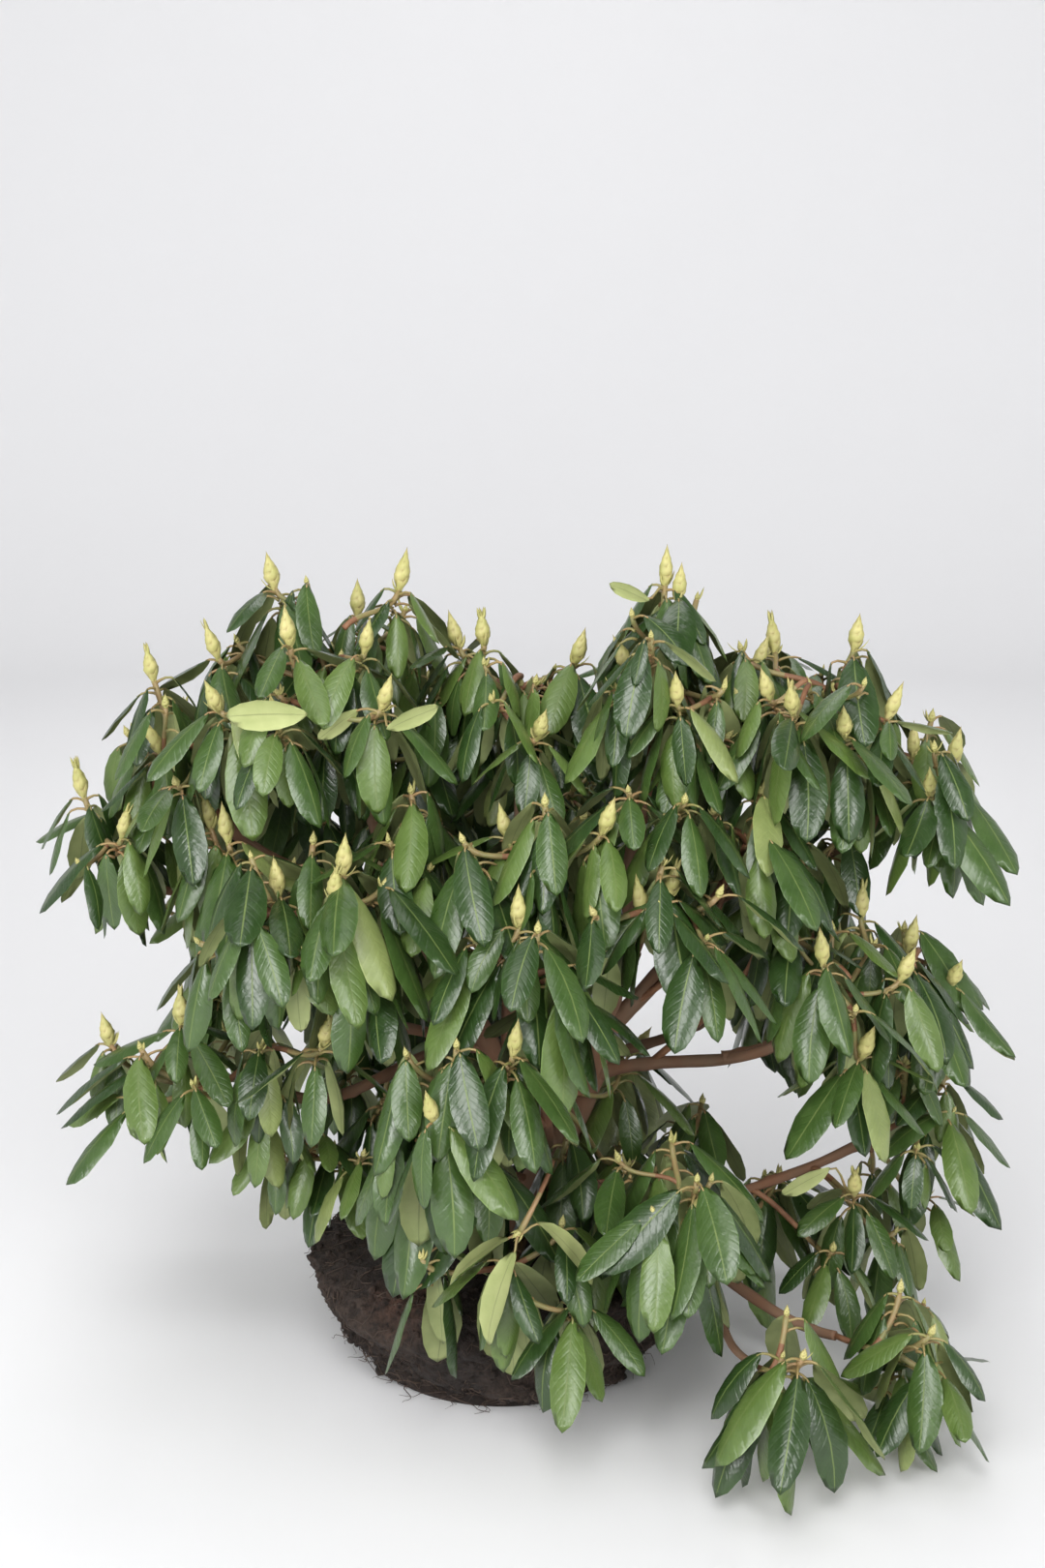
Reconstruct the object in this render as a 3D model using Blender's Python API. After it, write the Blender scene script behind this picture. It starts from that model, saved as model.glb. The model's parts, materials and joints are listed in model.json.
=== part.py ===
"""A rhododendron lifted with its bare root ball, as one object for each limb and each mass of leaves.

Metres, +Z up. The origin is the centre of the root ball's flat underside.
A bough grows from the trunk or from an older bough to the near side of its mass. There the mass's own stem
takes over: it forks into shoots, and every shoot ends in a ring of hanging leaves below one bud.
Everything follows from the two tables MASSES and BOUGHS, one seed and the rules below them.
"""

import math
import random
from collections import namedtuple

import bmesh
import bpy
import numpy as np
from mathutils import Vector
from mathutils.bvhtree import BVHTree

SEED = 11
# Clearance between neighbouring pieces
GAP = 0.0003

# Root ball: a flat foot, a bulging side, a rim and a nearly level top with a flat seat for the trunk
BALL_FOOT_RADIUS = 0.152
BALL_RIM_RADIUS = 0.214
BALL_RIM_HEIGHT = 0.122
BALL_SEAT_HEIGHT = 0.152
BALL_SEAT_RADIUS = 0.062
BALL_SIDES = 26
BALL_ROUGHNESS = 0.006

# Trunk: from its flat cut on the seat to the fork, leaning to the right
TRUNK_FOOT = (0.030, 0.0)
TRUNK_TOP = (0.062, -0.004, 0.232)
FLARE_RADIUS = 0.046
FLARE_LOBES = 5
TRUNK_SIDES = 10

# Limb radius is this times the square root of the number of shoots that the limb feeds
FEED_RADIUS = 0.0024
LIMB_SIDES = 5
LIMB_RINGS = 5
# How far a bough wanders from its curve, and the swellings of old bark as shares of the radius
LIMB_WANDER = 0.0056
BARK_SWELL = (0.93, 1.08)
# A limb's curve follows its first and last direction for these shares of its span
LEAVE_PULL = 0.36
ARRIVE_PULL = 0.34
# A bough may be cut by any older limb that comes this near
LIMB_NEAR = 0.03

# Twigs and buds: a three-sided twig is wider than life, because a triangle holds less than its circle
TWIG_SIDES = 3
LEADER_RINGS = 4
SHOOT_RINGS = 3
TWIG_TRIES = 8
SHOOT_RADIUS = 0.0046
TIP_RADIUS = 0.0040
BUD_LENGTH = 0.040
BUD_RADIUS = 0.0092
# Share of its length at which a bud is widest
BUD_BELLY = 0.36
# Side shoots leave the leader between this share of its length and this much further on
FIRST_FORK = 0.24
FORK_STRETCH = 0.42

# Leaves: in rings just below the buds, with one leaf more round every other shoot
LEAVES_A_RING = (4, 5, 4, 4)
LEAF_LENGTH = 0.140
LEAF_WIDTH = 0.055
LEAF_THICKNESS = 0.0024
LEAF_TRIES = 12
# Each try shortens the leaf by this factor
LEAF_SHRINK = 0.96
# Angles below level at which a leaf ends, how much less it droops where it starts, and its turn about its midrib
LAST_DROOP = (58, 82)
LEAF_BEND = (36, 60)
LEAF_ROLL = 26
# Shares of the leaf's length at which its edge points and its keel stand, and the edge's share of its width
NEAR_EDGE = (0.34, 0.88)
FAR_EDGE = (0.74, 0.86)
KEEL_AT = 0.42
# A leaf's root is sunk this far past its twig's middle line, and the next root lies this far below it
ROOT_DEPTH = 0.0014
ROOT_STEP = 0.0045
# Share of the way to its widest part that a leaf's stalk takes up
STALK_SHARE = 0.20
# How far below its shoot's tip a ring of leaves has its middle
RING_DROP = 0.055
# Half the clear strip between two masses, and the lowest that a leaf may hang
SPACE_MARGIN = 0.0015
FLOOR_CLEAR = 0.010
# How far leaves and twigs keep from limbs, and how much larger the ball counts as for them
LEAF_CLEAR = 0.0012
BALL_CLEAR = 1.012

# The middle of the plant, which every mass faces away from, and how strongly a mass turns up
HEARTWOOD = np.array([0.03, 0.02, 0.26])
UPTURN = 0.75
# Polar angle, from the way a mass faces, that its outermost shoots reach
SHOOT_SPREAD = math.radians(86)
# How far below level a shoot may run out from its mass's heart
LOWEST_WAY = -0.25
GOLDEN_ANGLE = math.pi * (3 - math.sqrt(5))

Mass = namedtuple("Mass", "name heart reach shoots")
Bough = namedtuple("Bough", "mass parent at rise")

# Heart of each mass, its reach along X, Y and Z to the tips of its shoots, and the number of shoots
MASSES = [
    Mass("left_dome", (-0.180, -0.020, 0.775), (0.115, 0.130, 0.115), 7),
    Mass("left_shoulder", (-0.335, -0.030, 0.700), (0.085, 0.100, 0.085), 5),
    Mass("far_left", (-0.425, -0.030, 0.600), (0.055, 0.080, 0.055), 3),
    Mass("left_front", (-0.205, -0.185, 0.560), (0.115, 0.090, 0.075), 6),
    Mass("left_arm", (-0.300, -0.130, 0.375), (0.130, 0.075, 0.050), 5),
    Mass("left_foot", (-0.200, -0.090, 0.270), (0.060, 0.070, 0.040), 2),
    Mass("left_inner", (-0.080, -0.110, 0.620), (0.060, 0.070, 0.060), 3),
    Mass("centre_top", (0.020, -0.030, 0.765), (0.085, 0.100, 0.085), 5),
    Mass("centre_upper", (0.040, -0.165, 0.620), (0.090, 0.075, 0.060), 4),
    Mass("centre_front", (0.035, -0.255, 0.520), (0.070, 0.070, 0.060), 3),
    Mass("centre_low", (-0.030, -0.260, 0.410), (0.080, 0.070, 0.060), 4),
    Mass("right_dome", (0.165, -0.060, 0.775), (0.075, 0.135, 0.115), 7),
    Mass("right_centre", (0.150, -0.200, 0.570), (0.070, 0.070, 0.060), 3),
    Mass("right_inner", (0.250, -0.110, 0.620), (0.060, 0.070, 0.055), 3),
    Mass("right_shoulder", (0.335, -0.040, 0.755), (0.095, 0.120, 0.090), 7),
    Mass("far_right", (0.445, 0.000, 0.675), (0.055, 0.090, 0.060), 5),
    Mass("right_arm", (0.350, -0.120, 0.470), (0.065, 0.090, 0.080), 4),
    Mass("right_arm_tip", (0.445, -0.030, 0.475), (0.055, 0.080, 0.070), 4),
    Mass("right_low", (0.445, -0.050, 0.300), (0.060, 0.080, 0.065), 4),
    Mass("right_foot", (0.385, -0.260, 0.140), (0.060, 0.070, 0.045), 3),
    Mass("front_foot", (0.270, -0.320, 0.145), (0.045, 0.050, 0.045), 2),
    Mass("front_right", (0.175, -0.240, 0.280), (0.065, 0.070, 0.060), 3),
    Mass("front_low", (0.010, -0.240, 0.215), (0.100, 0.060, 0.040), 4),
    Mass("back_left_top", (-0.200, 0.190, 0.680), (0.120, 0.100, 0.095), 5),
    Mass("back_right_top", (0.250, 0.190, 0.690), (0.120, 0.100, 0.095), 5),
    Mass("back_centre", (0.030, 0.250, 0.570), (0.110, 0.090, 0.080), 5),
    Mass("back_left", (-0.300, 0.200, 0.430), (0.110, 0.095, 0.080), 5),
    Mass("back_right", (0.340, 0.210, 0.420), (0.110, 0.095, 0.080), 5),
    Mass("back_low", (0.000, 0.270, 0.280), (0.135, 0.080, 0.060), 5),
]

# Each bough, named after the mass it feeds: the limb it leaves, how far along that limb, and how steeply
BOUGHS = [
    Bough("right_dome", "trunk", 1.00, 0.9),
    Bough("left_dome", "trunk", 0.88, 0.7),
    Bough("back_centre", "trunk", 0.74, 0.8),
    Bough("centre_front", "trunk", 0.62, 0.6),
    Bough("right_foot", "trunk", 0.50, 0.1),
    Bough("front_low", "trunk", 0.46, 0.1),
    Bough("back_low", "trunk", 0.42, 0.2),
    Bough("left_foot", "trunk", 0.50, 0.2),
    Bough("centre_top", "left_dome", 0.22, 0.9),
    Bough("left_arm", "left_dome", 0.30, 0.3),
    Bough("left_front", "left_dome", 0.44, 0.5),
    Bough("left_inner", "left_dome", 0.38, 0.8),
    Bough("left_shoulder", "left_dome", 0.60, 0.6),
    Bough("far_left", "left_shoulder", 0.45, 0.3),
    Bough("back_left_top", "left_dome", 0.52, 0.6),
    Bough("back_left", "back_centre", 0.30, 0.4),
    Bough("back_right", "back_centre", 0.24, 0.4),
    Bough("back_right_top", "right_dome", 0.50, 0.6),
    Bough("right_shoulder", "right_dome", 0.34, 0.3),
    Bough("right_inner", "right_shoulder", 0.42, 0.9),
    Bough("far_right", "right_shoulder", 0.55, 0.4),
    Bough("right_arm", "right_dome", 0.22, 0.2),
    Bough("right_arm_tip", "right_arm", 0.62, 0.3),
    Bough("right_low", "right_foot", 0.30, 0.3),
    Bough("front_foot", "right_foot", 0.55, 0.0),
    Bough("centre_upper", "centre_top", 0.50, 0.5),
    Bough("centre_low", "centre_front", 0.40, 0.2),
    Bough("right_centre", "right_dome", 0.44, 0.4),
    Bough("front_right", "centre_front", 0.22, 0.1),
]

UP = np.array([0.0, 0.0, 1.0])
MASS_NAMED = {mass.name: mass for mass in MASSES}


def unit(vector):
    """The vector at length one."""
    return vector / np.linalg.norm(vector)


def bezier(corners, count):
    """The cubic curve of four control points, as count points at even steps of its parameter."""
    t = np.linspace(0, 1, count)[:, None]
    start, lead, trail, end = corners
    return (1 - t) ** 3 * start + 3 * (1 - t) ** 2 * t * lead + 3 * (1 - t) * t**2 * trail + t**3 * end


def at_fraction(path, fraction):
    """Point and unit direction at a fraction of a path's length."""
    steps = np.linalg.norm(np.diff(path, axis=0), axis=1)
    along = np.concatenate([[0], np.cumsum(steps)])
    where = fraction * along[-1]
    point = np.array([np.interp(where, along, path[:, axis]) for axis in range(3)])
    segment = min(np.searchsorted(along, where, side="right") - 1, len(steps) - 1)
    return point, unit(path[segment + 1] - path[segment])


def tangents(path):
    """Unit direction of a path at each of its points."""
    return np.array([unit(step) for step in np.gradient(path, axis=0)])


def tube(path, radii, sides, pointed=False, first_way=None, split=False):
    """Vertices and faces of a closed tube along a path, with flat ends or with its last point as an apex.

    The first end is square to first_way, where that is given, so that it lies flat on what it grows from.
    A limb's faces are split into triangles, so that the larger copy that cuts its boughs is parallel to it.
    """
    rings = len(path) - 1 if pointed else len(path)
    along = tangents(path)
    if first_way is not None:
        along[0] = first_way
    across = unit(np.cross(along[0], UP if abs(along[0][2]) < 0.9 else np.array([0.0, 1.0, 0.0])))
    vertices = []
    for ring in range(rings):
        across = unit(across - along[ring] * np.dot(across, along[ring]))
        beside = np.cross(along[ring], across)
        for side in range(sides):
            turn = 2 * math.pi * side / sides
            radius = radii[ring][side] if np.ndim(radii[ring]) else radii[ring]
            vertices.append(path[ring] + radius * (math.cos(turn) * across + math.sin(turn) * beside))
    faces = [tuple(reversed(range(sides)))]
    for ring in range(rings - 1):
        for side in range(sides):
            here, after = ring * sides + side, ring * sides + (side + 1) % sides
            if split:
                faces += [(here, after, after + sides), (here, after + sides, here + sides)]
            else:
                faces.append((here, after, after + sides, here + sides))
    last = (rings - 1) * sides
    if pointed:
        vertices.append(path[-1])
        faces += [(last + side, last + (side + 1) % sides, last + sides) for side in range(sides)]
    else:
        faces.append(tuple(last + side for side in range(sides)))
    return np.array(vertices), faces


def mesh_object(name, vertices, faces, material):
    """A new object of one mesh, in the scene's own collection."""
    mesh = bpy.data.meshes.new(name)
    mesh.from_pydata([tuple(vertex) for vertex in vertices], [], faces)
    mesh.materials.append(material)
    made = bpy.data.objects.new(name, mesh)
    bpy.context.scene.collection.objects.link(made)
    return made


def remove(made):
    """Deletes an object and its mesh."""
    mesh = made.data
    bpy.data.objects.remove(made)
    bpy.data.meshes.remove(mesh)


def boolean(base, others, operation, solver):
    """Joins or cuts the base with a collection of others, applies it and removes the others."""
    group = bpy.data.collections.new("operands")
    bpy.context.scene.collection.children.link(group)
    for other in others:
        bpy.context.scene.collection.objects.unlink(other)
        group.objects.link(other)
    modifier = base.modifiers.new("join", "BOOLEAN")
    modifier.operation = operation
    modifier.solver = solver
    modifier.operand_type = "COLLECTION"
    modifier.collection = group
    graph = bpy.context.evaluated_depsgraph_get()
    result = bpy.data.meshes.new_from_object(base.evaluated_get(graph))
    base.modifiers.remove(modifier)
    before = base.data
    base.data = result
    bpy.data.meshes.remove(before)
    for other in others:
        remove(other)
    bpy.data.collections.remove(group)
    base.data.name = base.name


def keep_main_body(made):
    """Drops loose scraps and sealed hollows, so that only the largest closed body stays."""
    shape = bmesh.new()
    shape.from_mesh(made.data)
    bmesh.ops.triangulate(shape, faces=shape.faces)
    left = set(shape.faces)
    bodies = []
    while left:
        body, front = set(), [left.pop()]
        while front:
            face = front.pop()
            body.add(face)
            for edge in face.edges:
                for neighbour in edge.link_faces:
                    if neighbour in left:
                        left.remove(neighbour)
                        front.append(neighbour)
        bodies.append(body)
    largest = max(bodies, key=len)
    for body in bodies:
        if body is not largest:
            bmesh.ops.delete(shape, geom=list(body), context="FACES")
    bmesh.ops.delete(shape, geom=[v for v in shape.verts if not v.link_faces], context="VERTS")
    shape.to_mesh(made.data)
    shape.free()
    return len(bodies) - 1


def principled(name, colour, roughness, sheen=0.0):
    """A plain Principled material for one kind of piece."""
    material = bpy.data.materials.new(name)
    material.use_nodes = True
    shader = material.node_tree.nodes["Principled BSDF"]
    shader.inputs["Base Color"].default_value = (*colour, 1)
    shader.inputs["Roughness"].default_value = roughness
    shader.inputs["Metallic"].default_value = 0
    shader.inputs["Coat Weight"].default_value = sheen
    return material


def facing_of(mass):
    """The way a mass faces: away from the middle of the plant, turned up."""
    return unit(unit(np.array(mass.heart) - HEARTWOOD) + UPTURN * UP)


def entry_of(mass):
    """Where the mass's stem begins, on the near side of its reach."""
    return np.array(mass.heart) - 0.92 * np.array(mass.reach) * facing_of(mass)


def trunk_path():
    """The trunk's middle line: straight up off its cut, then leaning to the fork."""
    foot = np.array([*TRUNK_FOOT, BALL_SEAT_HEIGHT + GAP])
    top = np.array(TRUNK_TOP)
    return bezier((foot, foot + 0.03 * UP, top - 0.03 * unit(top - foot), top), 6)


def limb_path(bough, paths):
    """A bough's middle line: it leaves its parent sideways, bends up and arrives as its mass faces."""
    mass = MASS_NAMED[bough.mass]
    start, parent_way = at_fraction(paths[bough.parent], bough.at)
    end = entry_of(mass)
    span = np.linalg.norm(end - start)
    level = unit((end - start) * (1, 1, 0.35))
    leave = parent_way if bough.at == 1 else unit(level + 0.35 * parent_way + bough.rise * UP * 0.5)
    arrive = unit(0.55 * facing_of(mass) + 0.45 * unit(end - start))
    if bough.at == 1:
        start = start + GAP * leave
    corners = (start, start + LEAVE_PULL * span * leave, end - ARRIVE_PULL * span * arrive, end)
    path = bezier(corners, LIMB_RINGS)
    # A slow seeded wander, which fades at both ends
    rng = random.Random(f"{SEED} bough {bough.mass}")
    t = np.linspace(0, 1, LIMB_RINGS)
    fade = np.sin(math.pi * t)[:, None]
    waves = [(rng.uniform(-1, 1), rng.uniform(-3, 3)) for _ in range(3)]
    sway = np.array([size * np.sin(5 * t + phase) for size, phase in waves]).T
    return path + LIMB_WANDER * fade * sway


def shoots_beyond(name, fraction):
    """How many shoots a limb still feeds at a fraction of its length."""
    own = 0 if name == "trunk" else MASS_NAMED[name].shoots
    children = [bough for bough in BOUGHS if bough.parent == name and bough.at >= fraction]
    return own + sum(shoots_beyond(child.mass, 0) for child in children)


def limb_radii(name, count):
    """A limb's radius at each ring, which falls evenly from what its base feeds to what its tip feeds."""
    base = FEED_RADIUS * math.sqrt(shoots_beyond(name, 0))
    tip = FEED_RADIUS * math.sqrt(shoots_beyond(name, 1))
    return np.interp(np.linspace(0, 1, count), [0, 1], [base, tip])


def knobbly(name, radii, sides):
    """The same radii with the small swellings that old bark has, one value for each side of each ring."""
    rng = random.Random(f"{SEED} bark {name}")
    rows = [[radius * rng.uniform(*BARK_SWELL) for _ in range(sides)] for radius in radii]
    return [[radii[0]] * sides] + rows[1:-1] + [[radii[-1]] * sides]


def trunk_radii(count):
    """The trunk's radius on each side of each ring: a lobed flare at the cut, gone a third of the way up."""
    stem = limb_radii("trunk", count)
    rows = []
    for ring in range(count):
        flare = (FLARE_RADIUS - stem[0]) * max(0, 1 - 2.6 * ring / (count - 1)) ** 1.6
        turns = 2 * math.pi * np.arange(TRUNK_SIDES) / TRUNK_SIDES
        rows.append(stem[ring] + flare * (1 + 0.22 * np.cos(FLARE_LOBES * turns + 0.6)))
    return rows


def grow_limbs():
    """Middle line, radii and sides of the trunk and every bough, parents before children."""
    paths = {"trunk": trunk_path()}
    limbs = {"trunk": (paths["trunk"], trunk_radii(len(paths["trunk"])), TRUNK_SIDES, UP)}
    for bough in BOUGHS:
        path = limb_path(bough, paths)
        radii = knobbly(bough.mass, limb_radii(bough.mass, LIMB_RINGS), LIMB_SIDES)
        first_way = end_way(paths[bough.parent]) if bough.at == 1 else None
        paths[bough.mass] = path
        limbs[bough.mass] = (path, radii, LIMB_SIDES, first_way)
    return limbs


def end_way(path):
    """The direction in which a path ends."""
    return unit(path[-1] - path[-2])


def limb_solid(limb):
    """Vertices and faces of a limb."""
    path, radii, sides, first_way = limb
    return tube(path, radii, sides, first_way=first_way, split=True)


def swollen(limb, extra):
    """Vertices and faces of a limb with every radius larger, and its ends that much further out."""
    path, radii, sides, first_way = limb
    ends = tangents(path)
    longer = np.vstack([path[:1] - extra * ends[0], path[1:-1], path[-1:] + extra * ends[-1]])
    return tube(longer, [np.array(row) + extra for row in radii], sides, first_way=first_way, split=True)


def limb_tip_radius(mass):
    """Radius at which a bough hands over to its mass."""
    return FEED_RADIUS * math.sqrt(mass.shoots)


def twig_solid(twig):
    """A twig with its bud: a tube that narrows to its tip, swells and closes in a point."""
    path, radius, first_way = twig
    up = end_way(path)
    bud = [path[-1] + up * BUD_LENGTH * rise for rise in (BUD_BELLY, 1.0)]
    radii = list(np.linspace(radius, TIP_RADIUS, len(path))) + [BUD_RADIUS, 0]
    return tube(np.vstack([path, bud]), radii, TWIG_SIDES, pointed=True, first_way=first_way)


def shoot_tip(mass, number, attempt):
    """Where a shoot ends and the way it points: the tips spread over the side that the mass faces."""
    rng = random.Random(f"{SEED} shoot {mass.name} {number} {attempt}")
    facing = facing_of(mass)
    across = unit(np.cross(facing, UP))
    beside = np.cross(across, facing)
    phase = random.Random(f"{SEED} mass {mass.name}").uniform(0, 2 * math.pi)
    polar = SHOOT_SPREAD * math.sqrt(number / (mass.shoots - 1)) + rng.uniform(-0.12, 0.12)
    turn = phase + number * GOLDEN_ANGLE + rng.uniform(-0.15, 0.15)
    way = math.cos(polar) * facing + math.sin(polar) * (math.cos(turn) * across + math.sin(turn) * beside)
    way[2] = max(way[2], LOWEST_WAY)
    tip = np.array(mass.heart) + np.array(mass.reach) * unit(way) * rng.uniform(0.92, 1.04)
    lean = unit(0.55 * UP + 0.45 * unit(way) + 0.12 * np.array([rng.uniform(-1, 1) for _ in range(3)]))
    return tip, lean


def twig_path(start, leave, tip, lean, rings):
    """A twig's middle line, from its start to its tip, where it points along lean."""
    span = np.linalg.norm(tip - start)
    return bezier((start, start + 0.32 * span * leave, tip - 0.34 * span * lean, tip), rings)


def fork(mass, bough_path, obstacles):
    """The mass's twigs, as (middle line, start radius, first way): a leader, then the side shoots on it.

    A side shoot is tried in several poses, and skipped if it would touch a limb or another mass's twig.
    """
    onward = end_way(bough_path)
    leader = twig_path(bough_path[-1] + GAP * onward, onward, *shoot_tip(mass, 0, 0), LEADER_RINGS)
    twigs = [(leader, limb_tip_radius(mass), onward)]
    for number in range(1, mass.shoots):
        start, along = at_fraction(leader, FIRST_FORK + FORK_STRETCH * number / mass.shoots)
        for attempt in range(TWIG_TRIES):
            tip, lean = shoot_tip(mass, number, attempt)
            leave = unit(0.5 * along + unit(tip - start))
            twig = (twig_path(start, leave, tip, lean, SHOOT_RINGS), SHOOT_RADIUS, None)
            surface = tree_of(*twig_solid(twig))
            if not any(surface.overlap(tree) for tree in obstacles):
                twigs.append(twig)
                break
    return twigs


def leaf_solid(root, azimuth, length, first_droop, last_droop, roll):
    """A hanging leaf as seven corners: its root, two pairs of edge points, its tip and a keel below its midrib.

    The upper side follows the leaf's arc and the keel stays inside that arc, so the two sides never cross.
    """
    outward = np.array([math.cos(azimuth), math.sin(azimuth), 0.0])
    sideways = np.array([-outward[1], outward[0], 0.0])
    bend = (last_droop - first_droop) / length
    half_width = LEAF_WIDTH * length / LEAF_LENGTH / 2

    def midrib(share):
        """A point of the leaf's arc and the direction that its upper side faces there."""
        droop = first_droop + bend * share * length
        level = (math.sin(droop) - math.sin(first_droop)) / bend
        fall = (math.cos(first_droop) - math.cos(droop)) / bend
        return root + outward * level - UP * fall, outward * math.sin(droop) + UP * math.cos(droop)

    def edges(share, width):
        """The pair of edge points beside a point of the midrib."""
        point, over = midrib(share)
        across = sideways * math.cos(roll) + over * math.sin(roll)
        return point - across * width * half_width, point + across * width * half_width

    keel, over = midrib(KEEL_AT)
    tip, _ = midrib(1)
    vertices = [root, *edges(*NEAR_EDGE), *edges(*FAR_EDGE), tip, keel - over * LEAF_THICKNESS]
    upper = [(0, 1, 2), (1, 3, 2), (2, 3, 4), (3, 5, 4)]
    under = [(0, 6, 1), (0, 2, 6), (1, 6, 3), (2, 4, 6), (3, 6, 5), (4, 5, 6)]
    return np.array(vertices), upper + under


def tree_of(vertices, faces):
    """A search tree of a closed shape's surface."""
    return BVHTree.FromPolygons([Vector(vertex) for vertex in vertices], faces)


def joined(shapes):
    """Several shapes' vertices and faces as one list."""
    vertices, faces, start = [], [], 0
    for points, rows in shapes:
        vertices.append(points)
        faces += [tuple(index + start for index in row) for row in rows]
        start += len(points)
    return np.vstack(vertices), faces


def blade_of(leaf):
    """The leaf without its stalk, which is what keeps clear of everything else."""
    vertices, faces = leaf
    blade = vertices.copy()
    blade[0] += STALK_SHARE * (vertices[1] + vertices[2] - 2 * vertices[0])
    return blade, faces


def samples(vertices):
    """A leaf's corners and the points halfway between each two of them."""
    first, second = np.triu_indices(len(vertices), 1)
    return np.vstack([vertices, (vertices[first] + vertices[second]) / 2])


class Spaces:
    """Shares out the air: a point belongs to the mass whose twigs or rings of leaves are nearest."""

    def __init__(self, twigs_of):
        marks, owners = [], []
        for number, mass in enumerate(MASSES):
            for path, _, _ in twigs_of[mass.name]:
                new = [*path[1:], (path[-2] + path[-1]) / 2, path[-1] - RING_DROP * UP]
                marks += new
                owners += [number] * len(new)
        self.marks, self.owners = np.array(marks), np.array(owners)

    def holds(self, mass, points):
        """True where all points lie in the mass's space, off the floor and clear of its borders."""
        if points[:, 2].min() < FLOOR_CLEAR:
            return False
        away = np.linalg.norm(points[:, None] - self.marks[None], axis=2)
        own = self.owners == MASSES.index(mass)
        return bool((away[:, ~own].min(axis=1) - away[:, own].min(axis=1) > 2 * SPACE_MARGIN).all())


def ring_of_leaves(mass, number, twig, spaces, obstacles):
    """The leaves of one shoot, each tried in several poses until one keeps to the mass's space."""
    rng = random.Random(f"{SEED} ring {mass.name} {number}")
    path = twig[0]
    axis = end_way(path)
    first = rng.uniform(0, 2 * math.pi)
    leaves = []
    for place in range(LEAVES_A_RING[number % len(LEAVES_A_RING)]):
        base = path[-1] - axis * ROOT_STEP * (place + 1)
        for attempt in range(LEAF_TRIES):
            azimuth = first + place * GOLDEN_ANGLE + rng.uniform(-0.2, 0.2) * (1 + 0.5 * attempt)
            length = LEAF_LENGTH * rng.uniform(0.86, 1.12) * LEAF_SHRINK**attempt
            last_droop = math.radians(rng.uniform(*LAST_DROOP) + 2 * attempt)
            first_droop = last_droop - math.radians(rng.uniform(*LEAF_BEND))
            roll = math.radians(rng.uniform(-LEAF_ROLL, LEAF_ROLL))
            root = base - ROOT_DEPTH * np.array([math.cos(azimuth), math.sin(azimuth), 0.0])
            leaf = leaf_solid(root, azimuth, length, first_droop, last_droop, roll)
            if not spaces.holds(mass, samples(leaf[0])):
                continue
            blade = tree_of(*blade_of(leaf))
            if not any(blade.overlap(tree) for tree in obstacles):
                obstacles.append(blade)
                leaves.append(leaf)
                break
    return leaves


def build_limbs(limbs, bark):
    """The trunk and boughs, each cut clear of the ones before it by the gap."""
    done = []
    for name, limb in limbs.items():
        label = "trunk" if name == "trunk" else f"{name}_bough"
        made = mesh_object(label, *limb_solid(limb), bark)
        box = (limb[0].min(axis=0) - LIMB_NEAR, limb[0].max(axis=0) + LIMB_NEAR)
        near = [
            other
            for other in done
            if np.all(limbs[other][0].min(axis=0) < box[1]) and np.all(limbs[other][0].max(axis=0) > box[0])
        ]
        surface = tree_of(*limb_solid(limb))
        for other in near:
            cutter = swollen(limbs[other], GAP)
            if surface.overlap(tree_of(*cutter)):
                boolean(made, [mesh_object("cutter", *cutter, bark)], "DIFFERENCE", "EXACT")
                keep_main_body(made)
        made.data.shade_smooth()
        done.append(name)


def ball_rings():
    """The root ball's profile, foot to seat, as (radius, height, share of the full roughness)."""
    bulge = BALL_RIM_RADIUS - BALL_FOOT_RADIUS
    side = [
        (BALL_FOOT_RADIUS + bulge * math.sin(share * math.pi / 2) ** 0.9, BALL_RIM_HEIGHT * share, 1.0)
        for share in (0.12, 0.30, 0.52, 0.76, 1.0)
    ]
    inward = BALL_RIM_RADIUS - BALL_SEAT_RADIUS
    rise = BALL_SEAT_HEIGHT - BALL_RIM_HEIGHT
    top = [
        (BALL_RIM_RADIUS - inward * share, BALL_RIM_HEIGHT + rise * 0.98 * math.sqrt(share), 1.0)
        for share in (0.10, 0.34, 0.66)
    ]
    return [(BALL_FOOT_RADIUS, 0.0, 0.0), *side, *top, (BALL_SEAT_RADIUS, BALL_SEAT_HEIGHT, 0.0)]


def ball_shape():
    """The root ball's vertices and faces: rough turned rings, flat below and under the trunk."""
    rng = random.Random(f"{SEED} ball")
    waves = [(rng.randint(2, 7), rng.randint(1, 3), rng.uniform(0, 2 * math.pi)) for _ in range(7)]
    rings = ball_rings()
    turns = 2 * math.pi * np.arange(BALL_SIDES) / BALL_SIDES
    vertices = []
    for number, (radius, height, rough) in enumerate(rings):
        # The seat lies under the trunk, which stands a little to the right of the ball's middle
        shift = TRUNK_FOOT[0] * min(1, max(0, number - 5) / 4)
        swell = sum(np.sin(a * turns + b * number + c) for a, b, c in waves) * 0.5
        grain = np.array([rng.uniform(-1, 1) for _ in turns])
        out = radius + rough * BALL_ROUGHNESS * (swell + 0.5 * grain)
        up = height + rough * BALL_ROUGHNESS * 0.4 * grain
        vertices.append(np.column_stack([shift + out * np.cos(turns), out * np.sin(turns), up]))
    faces = [tuple(reversed(range(BALL_SIDES)))]
    for ring in range(len(rings) - 1):
        for side in range(BALL_SIDES):
            here, after = ring * BALL_SIDES + side, ring * BALL_SIDES + (side + 1) % BALL_SIDES
            faces += [(here, after, after + BALL_SIDES), (here, after + BALL_SIDES, here + BALL_SIDES)]
    faces.append(tuple((len(rings) - 1) * BALL_SIDES + side for side in range(BALL_SIDES)))
    return np.vstack(vertices), faces


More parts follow.
